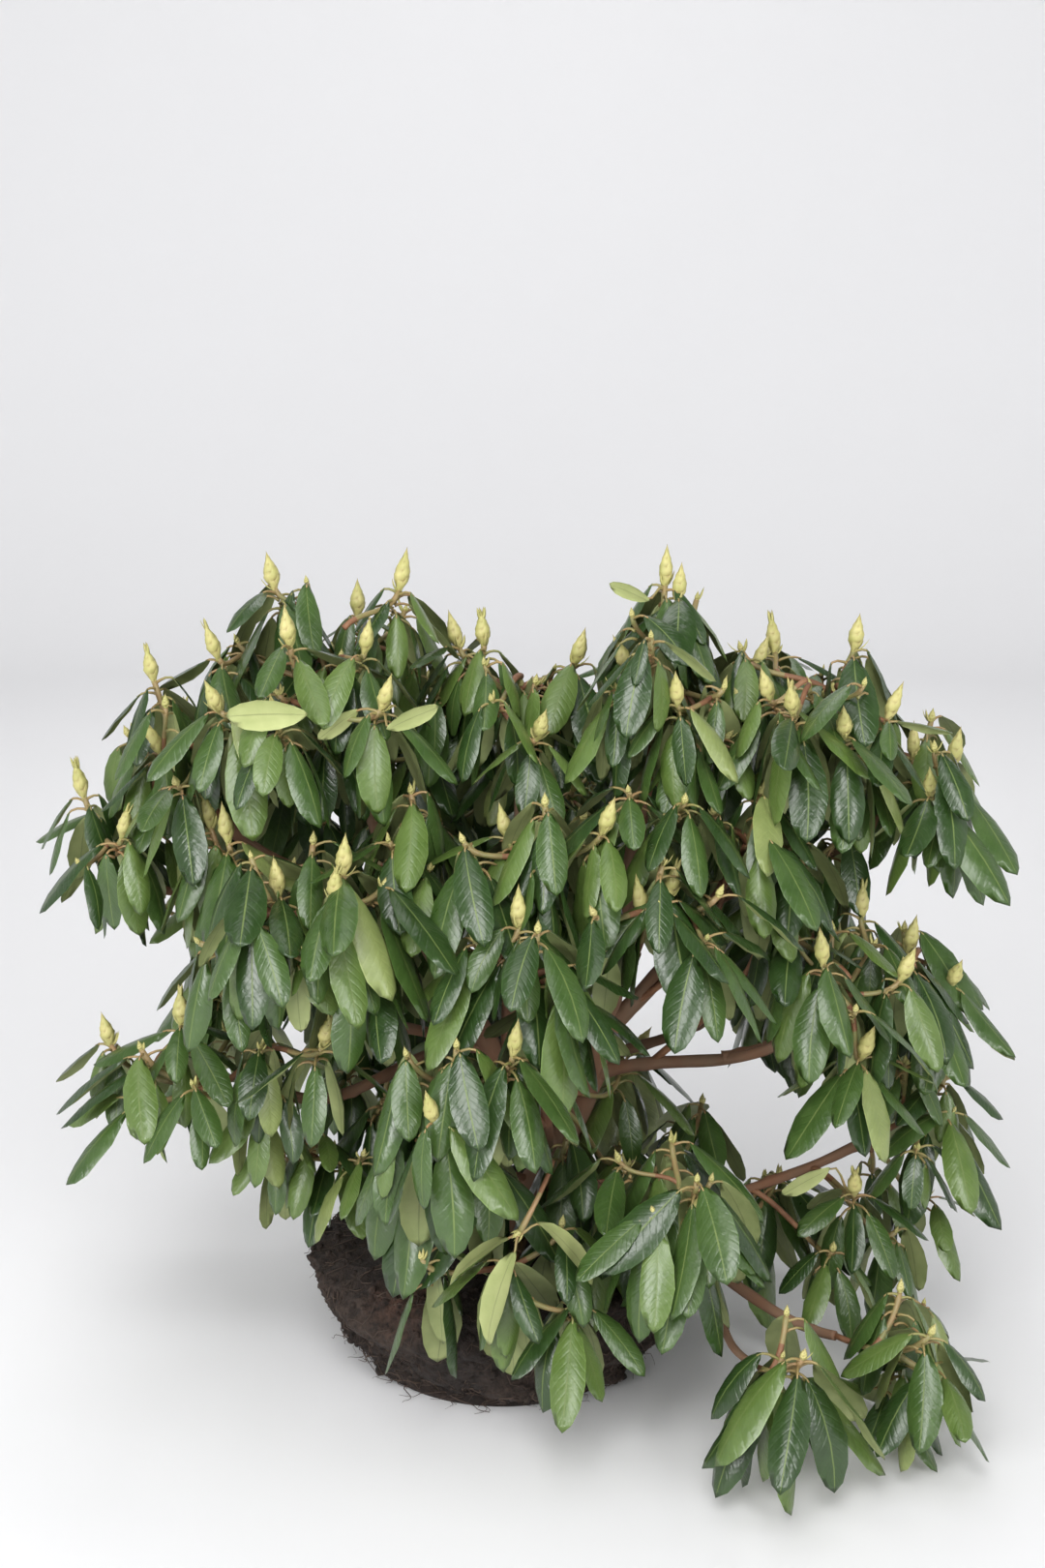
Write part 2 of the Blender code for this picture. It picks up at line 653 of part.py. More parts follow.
def plan_masses(limbs, ball):
    """Twigs and leaves of every mass, each kept clear of the limbs, the ball and the masses before it."""
    obstacles = [tree_of(*swollen(limb, LEAF_CLEAR)) for limb in limbs.values()]
    obstacles.append(tree_of(ball[0] * BALL_CLEAR, ball[1]))
    twigs_of = {}
    for mass in MASSES:
        twigs_of[mass.name] = fork(mass, limbs[mass.name][0], obstacles)
        obstacles.append(tree_of(*joined([twig_solid(twig) for twig in twigs_of[mass.name]])))
    spaces = Spaces(twigs_of)
    leaves_of = {}
    for mass in MASSES:
        leaves_of[mass.name] = []
        for number, twig in enumerate(twigs_of[mass.name]):
            leaves_of[mass.name] += ring_of_leaves(mass, number, twig, spaces, obstacles)
    return twigs_of, leaves_of


def build_mass(mass, twigs, leaves, green):
    """One mass: its twigs and leaves joined in a single union."""
    base = mesh_object(mass.name, *twig_solid(twigs[0]), green)
    others = [mesh_object("twig", *twig_solid(twig), green) for twig in twigs[1:]]
    others += [mesh_object("leaf", *leaf, green) for leaf in leaves]
    boolean(base, others, "UNION", "EXACT")
    dropped = keep_main_body(base)
    count = len(base.data.polygons)
    print(f"{mass.name}: {len(twigs)} shoots, {len(leaves)} leaves, {count} triangles, {dropped} scraps")


def main():
    """Clears the scene and builds the ball, the limbs and the masses."""
    for old in list(bpy.data.objects):
        bpy.data.objects.remove(old)
    earth = principled("root_ball_earth", (0.045, 0.026, 0.018), 0.95)
    bark = principled("bark", (0.17, 0.095, 0.055), 0.85)
    green = principled("leaf_green", (0.045, 0.110, 0.035), 0.35, 0.15)
    ball = ball_shape()
    mesh_object("root_ball", *ball, earth)
    limbs = grow_limbs()
    build_limbs(limbs, bark)
    twigs_of, leaves_of = plan_masses(limbs, ball)
    for mass in MASSES:
        build_mass(mass, twigs_of[mass.name], leaves_of[mass.name], green)


if __name__ == "__main__":
    main()
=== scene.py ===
# %% [markdown]
# # A rhododendron lifted with its root ball
#
# The shrub is about 0.9 m high and stands on a bare ball of peat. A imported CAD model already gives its
# trunk, its boughs and one solid for each mass of leaves. This lesson loads that model as a fixed frame,
# then grows the fine shrub along it: bark, shoots, leaf stalks, about 2,300 leaves, and the fat buds
# that stand over them. All lengths are metres, +Z is up, and the origin is the middle of the ball's flat
# underside.

# %% Load the frame
import itertools
import json
import math
import random
from collections import namedtuple

import bpy
import numpy as np
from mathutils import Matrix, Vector
from mathutils.bvhtree import BVHTree

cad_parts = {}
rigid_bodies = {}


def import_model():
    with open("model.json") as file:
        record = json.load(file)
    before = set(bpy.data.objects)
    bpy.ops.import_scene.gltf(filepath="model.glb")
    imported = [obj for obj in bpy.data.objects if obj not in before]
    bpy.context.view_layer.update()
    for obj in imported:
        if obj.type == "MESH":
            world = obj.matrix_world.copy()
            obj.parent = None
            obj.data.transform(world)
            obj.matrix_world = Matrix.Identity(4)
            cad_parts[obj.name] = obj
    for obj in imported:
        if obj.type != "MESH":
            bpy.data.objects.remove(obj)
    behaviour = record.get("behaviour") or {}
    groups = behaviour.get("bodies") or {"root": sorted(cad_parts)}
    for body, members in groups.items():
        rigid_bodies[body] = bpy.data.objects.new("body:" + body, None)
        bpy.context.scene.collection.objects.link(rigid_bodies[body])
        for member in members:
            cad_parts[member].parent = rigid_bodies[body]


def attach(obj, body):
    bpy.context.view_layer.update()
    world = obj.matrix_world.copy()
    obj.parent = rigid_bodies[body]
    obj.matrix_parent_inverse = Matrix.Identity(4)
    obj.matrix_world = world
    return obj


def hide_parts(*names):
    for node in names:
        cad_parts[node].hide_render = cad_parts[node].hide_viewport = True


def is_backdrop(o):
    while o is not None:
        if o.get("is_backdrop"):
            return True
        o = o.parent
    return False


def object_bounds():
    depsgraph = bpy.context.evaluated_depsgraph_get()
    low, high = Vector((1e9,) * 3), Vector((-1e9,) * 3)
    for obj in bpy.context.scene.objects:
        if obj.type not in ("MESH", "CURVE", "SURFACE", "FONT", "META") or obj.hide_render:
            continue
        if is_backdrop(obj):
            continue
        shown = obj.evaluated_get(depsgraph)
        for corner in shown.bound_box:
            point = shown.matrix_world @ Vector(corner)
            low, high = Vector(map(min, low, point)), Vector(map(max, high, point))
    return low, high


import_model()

CAD_LOW, CAD_HIGH = (np.array(corner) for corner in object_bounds())
print("CAD box, metres:", CAD_LOW.round(3), CAD_HIGH.round(3))

# %% [markdown]
# ## The camera first
#
# The photo was taken from a little above the shrub's top, looking slightly down. The height, the distance
# and the tilt come from the marks of a measuring staff behind the shrub, so they are numbers here and not
# guesses. With the camera in place, every later render can be laid beside the photo.

# %% Set the camera
CAMERA_PLACE = (0.0222, -2.107, 1.10)
CAMERA_TILT = 90 - 11.86
CAMERA_LENS = 45.33


def add_camera():
    """A camera with a 36 mm sensor across the image's longer side."""
    data = bpy.data.cameras.new("camera")
    data.lens = CAMERA_LENS
    data.sensor_width = 36
    made = bpy.data.objects.new("camera", data)
    made.location = CAMERA_PLACE
    made.rotation_euler = (math.radians(CAMERA_TILT), 0, 0)
    bpy.context.scene.collection.objects.link(made)
    return made


bpy.context.scene.camera = add_camera()
print("camera at", CAMERA_PLACE, "tilt", CAMERA_TILT)

# %% [markdown]
# ## The growth rule's tables
#
# The shrub could be drawn limb by limb, but a rule is shorter and easier to change. A mass is a cloud of
# leaves with a heart, a reach and a number of main shoots. A bough is a limb that leaves an older limb and
# ends on the near side of its mass. These are the same numbers that the CAD model was grown from, so the
# fine shrub follows it.

# %% Masses and boughs
SEED = 11
Mass = namedtuple("Mass", "name heart reach shoots")
Bough = namedtuple("Bough", "mass parent at rise")


def metres(row):
    """Millimetres as metres."""
    return tuple(value / 1000 for value in row)


# Name, heart of the mass and its reach along X, Y and Z to the tips of its shoots, both in millimetres,
# and the number of main shoots
MASS_ROWS = [
    ("left_dome", (-180, -20, 775), (115, 130, 115), 7),
    ("left_shoulder", (-335, -30, 700), (85, 100, 85), 5),
    ("far_left", (-425, -30, 600), (55, 80, 55), 3),
    ("left_front", (-205, -185, 560), (115, 90, 75), 6),
    ("left_arm", (-300, -130, 375), (130, 75, 50), 5),
    ("left_foot", (-200, -90, 270), (60, 70, 40), 2),
    ("left_inner", (-80, -110, 620), (60, 70, 60), 3),
    ("centre_top", (20, -30, 765), (85, 100, 85), 5),
    ("centre_upper", (40, -165, 620), (90, 75, 60), 4),
    ("centre_front", (35, -255, 520), (70, 70, 60), 3),
    ("centre_low", (-30, -260, 410), (80, 70, 60), 4),
    ("right_dome", (165, -60, 775), (75, 135, 115), 7),
    ("right_centre", (150, -200, 570), (70, 70, 60), 3),
    ("right_inner", (250, -110, 620), (60, 70, 55), 3),
    ("right_shoulder", (335, -40, 755), (95, 120, 90), 7),
    ("far_right", (445, 0, 675), (55, 90, 60), 5),
    ("right_arm", (350, -120, 470), (65, 90, 80), 4),
    ("right_arm_tip", (445, -30, 475), (55, 80, 70), 4),
    ("right_low", (445, -50, 300), (60, 80, 65), 4),
    ("right_foot", (385, -260, 140), (60, 70, 45), 3),
    ("front_foot", (270, -320, 145), (45, 50, 45), 2),
    ("front_right", (175, -240, 280), (65, 70, 60), 3),
    ("front_low", (10, -240, 215), (100, 60, 40), 4),
    ("back_left_top", (-200, 190, 680), (120, 100, 95), 5),
    ("back_right_top", (250, 190, 690), (120, 100, 95), 5),
    ("back_centre", (30, 250, 570), (110, 90, 80), 5),
    ("back_left", (-300, 200, 430), (110, 95, 80), 5),
    ("back_right", (340, 210, 420), (110, 95, 80), 5),
    ("back_low", (0, 270, 280), (135, 80, 60), 5),
]
MASSES = [Mass(name, metres(heart), metres(reach), shoots) for name, heart, reach, shoots in MASS_ROWS]

# Each bough, named after the mass it feeds: the limb it leaves, how far along that limb, and how steeply
BOUGHS = [
    Bough("right_dome", "trunk", 1.00, 0.9),
    Bough("left_dome", "trunk", 0.88, 0.7),
    Bough("back_centre", "trunk", 0.74, 0.8),
    Bough("centre_front", "trunk", 0.62, 0.6),
    Bough("right_foot", "trunk", 0.50, 0.1),
    Bough("front_low", "trunk", 0.46, 0.1),
    Bough("back_low", "trunk", 0.42, 0.2),
    Bough("left_foot", "trunk", 0.50, 0.2),
    Bough("centre_top", "left_dome", 0.22, 0.9),
    Bough("left_arm", "left_dome", 0.30, 0.3),
    Bough("left_front", "left_dome", 0.44, 0.5),
    Bough("left_inner", "left_dome", 0.38, 0.8),
    Bough("left_shoulder", "left_dome", 0.60, 0.6),
    Bough("far_left", "left_shoulder", 0.45, 0.3),
    Bough("back_left_top", "left_dome", 0.52, 0.6),
    Bough("back_left", "back_centre", 0.30, 0.4),
    Bough("back_right", "back_centre", 0.24, 0.4),
    Bough("back_right_top", "right_dome", 0.50, 0.6),
    Bough("right_shoulder", "right_dome", 0.34, 0.3),
    Bough("right_inner", "right_shoulder", 0.42, 0.9),
    Bough("far_right", "right_shoulder", 0.55, 0.4),
    Bough("right_arm", "right_dome", 0.22, 0.2),
    Bough("right_arm_tip", "right_arm", 0.62, 0.3),
    Bough("right_low", "right_foot", 0.30, 0.3),
    Bough("front_foot", "right_foot", 0.55, 0.0),
    Bough("centre_upper", "centre_top", 0.50, 0.5),
    Bough("centre_low", "centre_front", 0.40, 0.2),
    Bough("right_centre", "right_dome", 0.44, 0.4),
    Bough("front_right", "centre_front", 0.22, 0.1),
]
MASS_NAMED = {mass.name: mass for mass in MASSES}
print(len(MASSES), "masses on", len(BOUGHS), "boughs")

# %% [markdown]
# ## Curves
#
# Every stem, stalk and root here is a curve with a thickness. A cubic curve of four control points is
# enough: the second point sets how it leaves and the third how it arrives. The helpers work on whole
# arrays, so that one call makes one curve or two thousand.

# %% Curve helpers
UP = np.array([0.0, 0.0, 1.0])
FULL_TURN = 2 * math.pi
GOLDEN_ANGLE = math.pi * (3 - math.sqrt(5))


def unit(vectors):
    """Vectors divided by their length, along the last axis."""
    vectors = np.asarray(vectors, float)
    return vectors / np.linalg.norm(vectors, axis=-1, keepdims=True)


def level_way(heading, rise=0.0):
    """Directions at headings round the plant, which are level unless they rise."""
    return np.stack([np.cos(heading), np.sin(heading), rise + 0 * heading], axis=-1)


def bezier(corners, count):
    """(1-t)^3 A + 3(1-t)^2 t B + 3(1-t) t^2 C + t^3 D: corners (..., 4, 3) give points (..., count, 3)."""
    t = np.linspace(0, 1, count)
    weights = np.stack([(1 - t) ** 3, 3 * (1 - t) ** 2 * t, 3 * (1 - t) * t**2, t**3], axis=1)
    return weights @ np.asarray(corners, float)


def at_fraction(path, fraction):
    """Point and unit direction at a fraction of a path's length."""
    steps = np.linalg.norm(np.diff(path, axis=0), axis=1)
    along = np.concatenate([[0], np.cumsum(steps)])
    where = fraction * along[-1]
    point = np.array([np.interp(where, along, path[:, axis]) for axis in range(3)])
    segment = min(np.searchsorted(along, where, side="right") - 1, len(steps) - 1)
    return point, unit(path[segment + 1] - path[segment])


TEST_CURVE = bezier([[0, 0, 0], [0, 0, 1], [1, 0, 2], [2, 0, 2]], 9)
print("a quarter along a test curve:", at_fraction(TEST_CURVE, 0.25)[0])

# %% [markdown]
# ## From a curve to a tube
#
# A tube is a ring of points carried along a path. Each ring needs two directions square to the path. They
# come from one fixed reference direction for each path, which keeps the rings from twisting and needs no
# loop. Both ends close on a single point, so that every tube is a sealed solid.

# %% Tube helpers
def frames_along(paths):
    """Onward, sideways and upper directions along each path, from a reference square to its chord."""
    onward = unit(np.gradient(paths, axis=-2))
    chord = unit(paths[..., -1, :] - paths[..., 0, :])
    helper = np.where(np.abs(chord[..., 2:]) < 0.9, UP, np.array([0.0, 1.0, 0.0]))
    side = unit(np.cross(chord, helper))
    reference = np.cross(side, chord)[..., None, :]
    across = unit(np.cross(onward, reference))
    return onward, across, np.cross(onward, across)


def tube_points(paths, radii, sides, pointed=False):
    """Points of tubes, (tubes, 1 + rings * sides + 1, 3): a start point, the rings, and an end point.

    paths is (tubes, count, 3); radii is (tubes, count) or (tubes, count, sides). A pointed tube's last
    point has no ring. A ring's point is path + radius * (cos(turn) * across + sin(turn) * beside).
    """
    _, across, beside = frames_along(paths)
    radii = radii[..., None] if radii.ndim == 2 else radii
    turns = FULL_TURN * np.arange(sides) / sides
    spokes = np.cos(turns)[:, None] * across[..., None, :] + np.sin(turns)[:, None] * beside[..., None, :]
    rings = paths[..., None, :] + radii[..., None] * spokes
    if pointed:
        rings = rings[:, :-1]
    flat = rings.reshape(len(paths), -1, 3)
    return np.concatenate([paths[:, :1], flat, paths[:, -1:]], axis=1)


def tube_faces(tubes, rings, sides):
    """Four-sided and three-sided faces of such tubes, as rows of point numbers that face outwards."""
    ring, side = np.meshgrid(np.arange(rings - 1), np.arange(sides), indexing="ij")
    here = 1 + ring * sides + side
    after = 1 + ring * sides + (side + 1) % sides
    quads = np.stack([here, after, after + sides, here + sides], axis=-1).reshape(-1, 4)
    turn, last = np.arange(sides), 1 + (rings - 1) * sides
    start = np.stack([0 * turn, 1 + (turn + 1) % sides, 1 + turn], axis=-1)
    end = np.stack([last + turn, last + (turn + 1) % sides, 0 * turn + 1 + rings * sides], axis=-1)
    shift = (2 + rings * sides) * np.arange(tubes)[:, None, None]
    return (quads + shift).reshape(-1, 4), (np.concatenate([start, end]) + shift).reshape(-1, 3)


def tubes(paths, radii, sides, pointed=False):
    """Tubes as points and faces, ready to be joined, tested or handed to Blender."""
    points = tube_points(paths, radii, sides, pointed).reshape(-1, 3)
    return points, *tube_faces(len(paths), paths.shape[1] - pointed, sides)


def tube_map(across, along, start, end, count=1):
    """A flat map of tubes: two numbers for each point of the rings, between those of their two ends."""
    rings = np.stack(np.broadcast_arrays(across, along), axis=-1).reshape(-1, 2)
    return np.tile(np.vstack([start, rings, end]), (count, 1))


def search_tree(points, quads, tris):
    """A tree of faces, to ask what touches them."""
    return BVHTree.FromPolygons(points.tolist(), quads.tolist() + tris.tolist())


def tree_of_tube(path, radii, sides=6, pointed=False):
    """A search tree of one tube's surface."""
    return search_tree(*tubes(path[None], np.asarray(radii, float)[None], sides, pointed))


print("a tube of 4 rings and 6 sides has", len(tube_faces(1, 4, 6)[0]), "four-sided faces")

# %% [markdown]
# ## The limbs
#
# A limb leaves its parent sideways, bends up, and arrives the way its mass faces, which is away from the
# shrub's middle and upwards. A slow wander keeps it from looking drawn. Its thickness follows an old rule
# of trees: the area of a limb is the sum of the areas of what it feeds, so the radius goes with the root of
# the shoots beyond.

# %% Limb paths and radii
BALL_SEAT_HEIGHT = 0.152
GAP = 0.0003
TRUNK_FOOT = (0.030, 0.0)
TRUNK_TOP = (0.062, -0.004, 0.232)
FEED_RADIUS = 0.0024
LIMB_RINGS = 5
LIMB_WANDER = 0.0056
HEARTWOOD = np.array([0.03, 0.02, 0.26])
UPTURN = 0.75
# Share of its mass's reach, on the near side, at which a bough ends
BOUGH_END = 0.92


def facing_of(mass):
    """The way a mass faces: away from the middle of the plant, turned up."""
    return unit(unit(np.array(mass.heart) - HEARTWOOD) + UPTURN * UP)


def trunk_path(count):
    """The trunk's middle line: straight up off its cut, then leaning to the fork."""
    foot = np.array([*TRUNK_FOOT, BALL_SEAT_HEIGHT + GAP])
    top = np.array(TRUNK_TOP)
    return bezier([foot, foot + 0.03 * UP, top - 0.03 * unit(top - foot), top], count)


def limb_path(bough, paths, count):
    """A bough's middle line: one cubic curve plus a seeded wander that fades at both ends."""
    mass = MASS_NAMED[bough.mass]
    start, parent_way = at_fraction(paths[bough.parent], bough.at)
    end = np.array(mass.heart) - BOUGH_END * np.array(mass.reach) * facing_of(mass)
    span = np.linalg.norm(end - start)
    level = unit((end - start) * (1, 1, 0.35))
    leave = parent_way if bough.at == 1 else unit(level + 0.35 * parent_way + bough.rise * UP * 0.5)
    arrive = unit(0.55 * facing_of(mass) + 0.45 * unit(end - start))
    path = bezier([start, start + 0.36 * span * leave, end - 0.34 * span * arrive, end], count)
    rng = random.Random(f"{SEED} bough {bough.mass}")
    t = np.linspace(0, 1, count)
    waves = [(rng.uniform(-1, 1), rng.uniform(-3, 3)) for _ in range(3)]
    sway = np.array([size * np.sin(5 * t + phase) for size, phase in waves]).T
    return path + LIMB_WANDER * np.sin(math.pi * t)[:, None] * sway


def shoots_beyond(name, fraction):
    """How many main shoots a limb still feeds at a fraction of its length."""
    own = 0 if name == "trunk" else MASS_NAMED[name].shoots
    return own + sum(shoots_beyond(b.mass, 0) for b in BOUGHS if b.parent == name and b.at >= fraction)


def limb_radii(name, count):
    """Radius along a limb: the root of the shoots fed, falling evenly from base to tip."""
    ends = [FEED_RADIUS * math.sqrt(shoots_beyond(name, part)) for part in (0, 1)]
    return np.linspace(*ends, count)


COARSE = {"trunk": trunk_path(6)}
for bough in BOUGHS:
    COARSE[bough.mass] = limb_path(bough, COARSE, LIMB_RINGS)
print("trunk radius", limb_radii("trunk", 2).round(4), "- thinnest", limb_radii("left_foot", 2).round(4))

# %% [markdown]
# ## The shoots
#
# Inside its mass a bough hands over to a leader, and the main shoots fork off that leader. Their tips are
# spread over the side that the mass faces, by the same seeded rule as in the CAD model. A real shrub
# carries more: each older shoot has forked again below its last ring of leaves. Where the photo shows a
# ring of leaves, a finer shoot grows to that place. The rest of the finer shoots are placed one by one,
# each where it is furthest from all tips so far, which spreads them as evenly as light does on a living
# plant.

# %% Main shoots, by the CAD model's rule
SHOOT_SPREAD = math.radians(86)
LOWEST_WAY = -0.25
LEADER_RINGS = 4
SHOOT_RINGS = 3
TIP_RADIUS = 0.0040
SHOOT_RADIUS = 0.0046
LEAF_CLEAR = 0.0012
SHOOT_TRIES = 8
# A bud for the tests: where it is widest and where it ends, above the tip, and its greatest radius
BUD_WIDEST, BUD_END, BUD_GIRTH = 0.0144, 0.040, 0.0092
Shoot = namedtuple("Shoot", "mass corners radius kind flower")


def shoot_tip(mass, number, attempt):
    """Where a main shoot ends and the way it points."""
    rng = random.Random(f"{SEED} shoot {mass.name} {number} {attempt}")
    facing = facing_of(mass)
    across = unit(np.cross(facing, UP))
    beside = np.cross(across, facing)
    phase = random.Random(f"{SEED} mass {mass.name}").uniform(0, FULL_TURN)
    polar = SHOOT_SPREAD * math.sqrt(number / (mass.shoots - 1)) + rng.uniform(-0.12, 0.12)
    turn = phase + number * GOLDEN_ANGLE + rng.uniform(-0.15, 0.15)
    way = math.cos(polar) * facing + math.sin(polar) * (math.cos(turn) * across + math.sin(turn) * beside)
    way[2] = max(way[2], LOWEST_WAY)
    tip = np.array(mass.heart) + np.array(mass.reach) * unit(way) * rng.uniform(0.92, 1.04)
    lean = unit(0.55 * UP + 0.45 * unit(way) + 0.12 * np.array([rng.uniform(-1, 1) for _ in range(3)]))
    return tip, lean


def corners_between(start, leave, tip, lean):
    """Four control points of a shoot that leaves one way and ends pointing another."""
    span = np.linalg.norm(tip - start)
    return np.array([start, start + 0.32 * span * leave, tip - 0.34 * span * lean, tip])


def budded_tree(corners, radius, rings):
    """A search tree of a shoot with its bud."""
    path = bezier(corners, rings)
    up = unit(path[-1] - path[-2])
    path = np.vstack([path, path[-1] + BUD_WIDEST * up, path[-1] + BUD_END * up])
    return tree_of_tube(path, [*np.linspace(radius, TIP_RADIUS, rings), BUD_GIRTH, 0], 3, pointed=True)


def fork(mass, obstacles):
    """The leader and the main shoots of a mass, each skipped where it would touch what is there already."""
    path = COARSE[mass.name]
    onward = unit(path[-1] - path[-2])
    corners = corners_between(path[-1], onward, *shoot_tip(mass, 0, 0))
    leader = bezier(corners, LEADER_RINGS)
    shoots = [Shoot(mass, corners, FEED_RADIUS * math.sqrt(mass.shoots), "main", None)]
    for number in range(1, mass.shoots):
        start, along = at_fraction(leader, 0.24 + 0.42 * number / mass.shoots)
        for attempt in range(SHOOT_TRIES):
            tip, lean = shoot_tip(mass, number, attempt)
            corners = corners_between(start, unit(0.5 * along + unit(tip - start)), tip, lean)
            tree = budded_tree(corners, SHOOT_RADIUS, SHOOT_RINGS)
            if not any(tree.overlap(other) for other in obstacles):
                shoots.append(Shoot(mass, corners, SHOOT_RADIUS, "main", None))
                break
    return shoots


LIMB_TREES = [tree_of_tube(COARSE["trunk"], limb_radii("trunk", 6) * 1.2 + LEAF_CLEAR)]
LIMB_TREES += [
    tree_of_tube(COARSE[b.mass], limb_radii(b.mass, LIMB_RINGS) * 1.06 + LEAF_CLEAR) for b in BOUGHS
]
obstacles = list(LIMB_TREES)
MAIN_SHOOTS = []
for mass in MASSES:
    forked = fork(mass, obstacles)
    MAIN_SHOOTS += forked
    rings = [LEADER_RINGS] + [SHOOT_RINGS] * (len(forked) - 1)
    obstacles += [budded_tree(shoot.corners, shoot.radius, count) for shoot, count in zip(forked, rings)]
print(len(MAIN_SHOOTS), "main shoots")

# %% Shoots to the rings of leaves that the photo shows
# Places (x, z) in centimetres where the photo looks past or through the shrub, in the plane y = OPEN_DEPTH
OPEN_ROWS = [
    (-18, 87), (37, 87), (2, 84), (10, 84), (23, 84), (4, 82), (10, 82), (34, 82), (45, 79), (43, 76),
    (-43, 70), (52, 68), (52, 65), (54, 65), (44, 56), (-46, 53), (41, 53), (44, 53), (47, 53), (-41, 50),
    (50, 50), (-47, 47), (-41, 47), (-38, 47), (-35, 47), (53, 44), (53, 35), (30, 29), (-48, 26),
    (-42, 26), (-36, 26), (-42, 23), (-36, 23), (-19, 7), (52, 4), (55, 4), (25, 29), (28, 26), (-49, 56),
    (-49, 50), (51, 70), (40, 82), (-40, 76), (-43, 73), (55, 51), (57, 49), (-40, 46), (-37, 48),
    (-42, 49), (33, 85), (32, 83), (-14, 88),
]
OPEN_PLACES = [(x / 100, z / 100) for x, z in OPEN_ROWS]
OPEN_DEPTH = -0.05
OPEN_RADIUS = 0.028
SHORTENED = 0.5
Ring = namedtuple("Ring", "mass place flower")

# Mass, whether a fat flower bud stands on the ring, and the places of such rings in millimetres; the last
# rows, from back_centre on, are rings behind, which the photo doesn't show
RING_ROWS = [
    ("left_dome", True, (-240, -20, 873), (-296, -60, 804), (-216, -100, 822), (-156, 20, 839),
     (-108, -30, 872), (-140, -100, 815)),
    ("left_shoulder", True, (-374, -20, 754), (-348, -60, 727)),
    ("left_dome", True, (-285, -130, 760), (-223, -160, 748), (-120, -150, 765)),
    ("far_left", True, (-461, -10, 660), (-403, -70, 632)),
    ("left_front", True, (-279, -140, 625), (-300, -120, 636), (-221, -200, 585), (-155, -220, 612),
     (-163, -240, 592)),
    ("left_front", False, (-284, -160, 557)),
    ("left_arm", True, (-401, -120, 421), (-336, -130, 427), (-181, -200, 427)),
    ("left_arm", False, (-246, -180, 418)),
    ("centre_top", True, (-40, -20, 822), (-19, -20, 813), (37, -120, 730), (78, -30, 794)),
    ("centre_upper", True, (7, -160, 635), (92, -180, 633)),
    ("centre_front", True, (18, -240, 564)),
    ("centre_front", False, (55, -280, 532)),
    ("centre_low", True, (13, -300, 453), (-53, -300, 407)),
    ("right_centre", True, (143, -200, 563), (169, -200, 583)),
    ("right_dome", True, (167, -50, 869), (183, -70, 866), (146, -100, 817), (177, -160, 772)),
    ("right_dome", False, (128, -180, 687), (183, -190, 678)),
    ("right_dome", True, (272, 0, 782)),
    ("right_shoulder", True, (295, 10, 800), (275, -120, 770), (296, -140, 759), (370, -50, 812),
     (350, -130, 734), (398, -100, 747)),
    ("far_right", True, (470, -20, 701), (480, -40, 684), (451, -80, 661)),
    ("right_arm", True, (388, -50, 521), (328, -180, 508), (415, -140, 478)),
    ("right_arm_tip", True, (464, -20, 482), (485, -60, 447)),
    ("right_arm", True, (370, -180, 408)),
    ("right_arm_tip", False, (490, -80, 311)),
    ("right_low", True, (379, -120, 233)),
    ("right_low", False, (356, -130, 171), (437, -60, 161)),
    ("right_foot", False, (459, -120, 104), (415, -220, 88)),
    ("front_foot", False, (278, -320, 147)),
    ("front_right", True, (190, -280, 272)),
    ("front_right", False, (171, -200, 321)),
    ("front_low", False, (81, -270, 179), (-66, -250, 216), (22, -270, 247)),
    ("left_dome", False, (-85, 50, 691)),
    ("left_inner", False, (-77, 60, 476), (-132, 80, 550), (-22, 50, 456)),
    ("centre_front", False, (133, 30, 313)),
    ("front_right", False, (232, 80, 258), (300, 20, 193)),
    ("right_low", False, (418, 0, 214), (481, -20, 187)),
    ("left_dome", False, (-204, 30, 607), (-133, 20, 610), (-238, 60, 639)),
    ("centre_top", False, (1, 50, 696)),
    ("left_inner", False, (-70, 50, 603)),
    ("left_arm", False, (-166, -20, 342)),
    ("left_foot", False, (-186, -60, 256), (-130, -100, 256)),
    ("centre_low", False, (-18, -200, 314), (-92, -200, 319)),
    ("centre_front", False, (134, 30, 225)),
    ("front_right", False, (315, 10, 198), (205, 90, 230)),
    ("front_low", False, (69, -130, 301)),
    ("front_right", False, (137, -110, 260)),
    ("left_dome", False, (-170, 50, 664)),
    ("centre_upper", False, (44, 30, 546)),
    ("left_foot", False, (-196, -110, 304), (-148, -130, 279)),
    ("right_inner", False, (372, 0, 603)),
    ("front_right", False, (183, -50, 257)),
    ("left_arm", False, (-126, -60, 323)),
    ("back_centre", False, (-100, 220, 470), (110, 230, 480)),
    ("back_low", False, (-110, 240, 370), (60, 270, 380)),
    ("back_left", False, (-190, 210, 420), (-200, 220, 330)),
    ("back_right", False, (330, 250, 500), (240, 260, 540)),
    ("back_centre", False, (0, 280, 500)),
]
SEEN_RINGS = [
    Ring(mass, metres(place), flower) for mass, flower, *places in RING_ROWS for place in places
]
SAME_RING = 0.030
# A ring's shoot comes from wood this far below it or further, and isn't shorter than this, where that can be
DROP, SHORTEST = 0.03, 0.045


def wood_of(mass, own):
    """Points and onward directions along a mass's main shoots and the last part of its bough."""
    curves = [bezier(shoot.corners, 14)[3:12] for shoot in own] + [COARSE[mass.name][-3:]]
    return np.vstack(curves), np.vstack([unit(np.gradient(curve, axis=0)) for curve in curves])


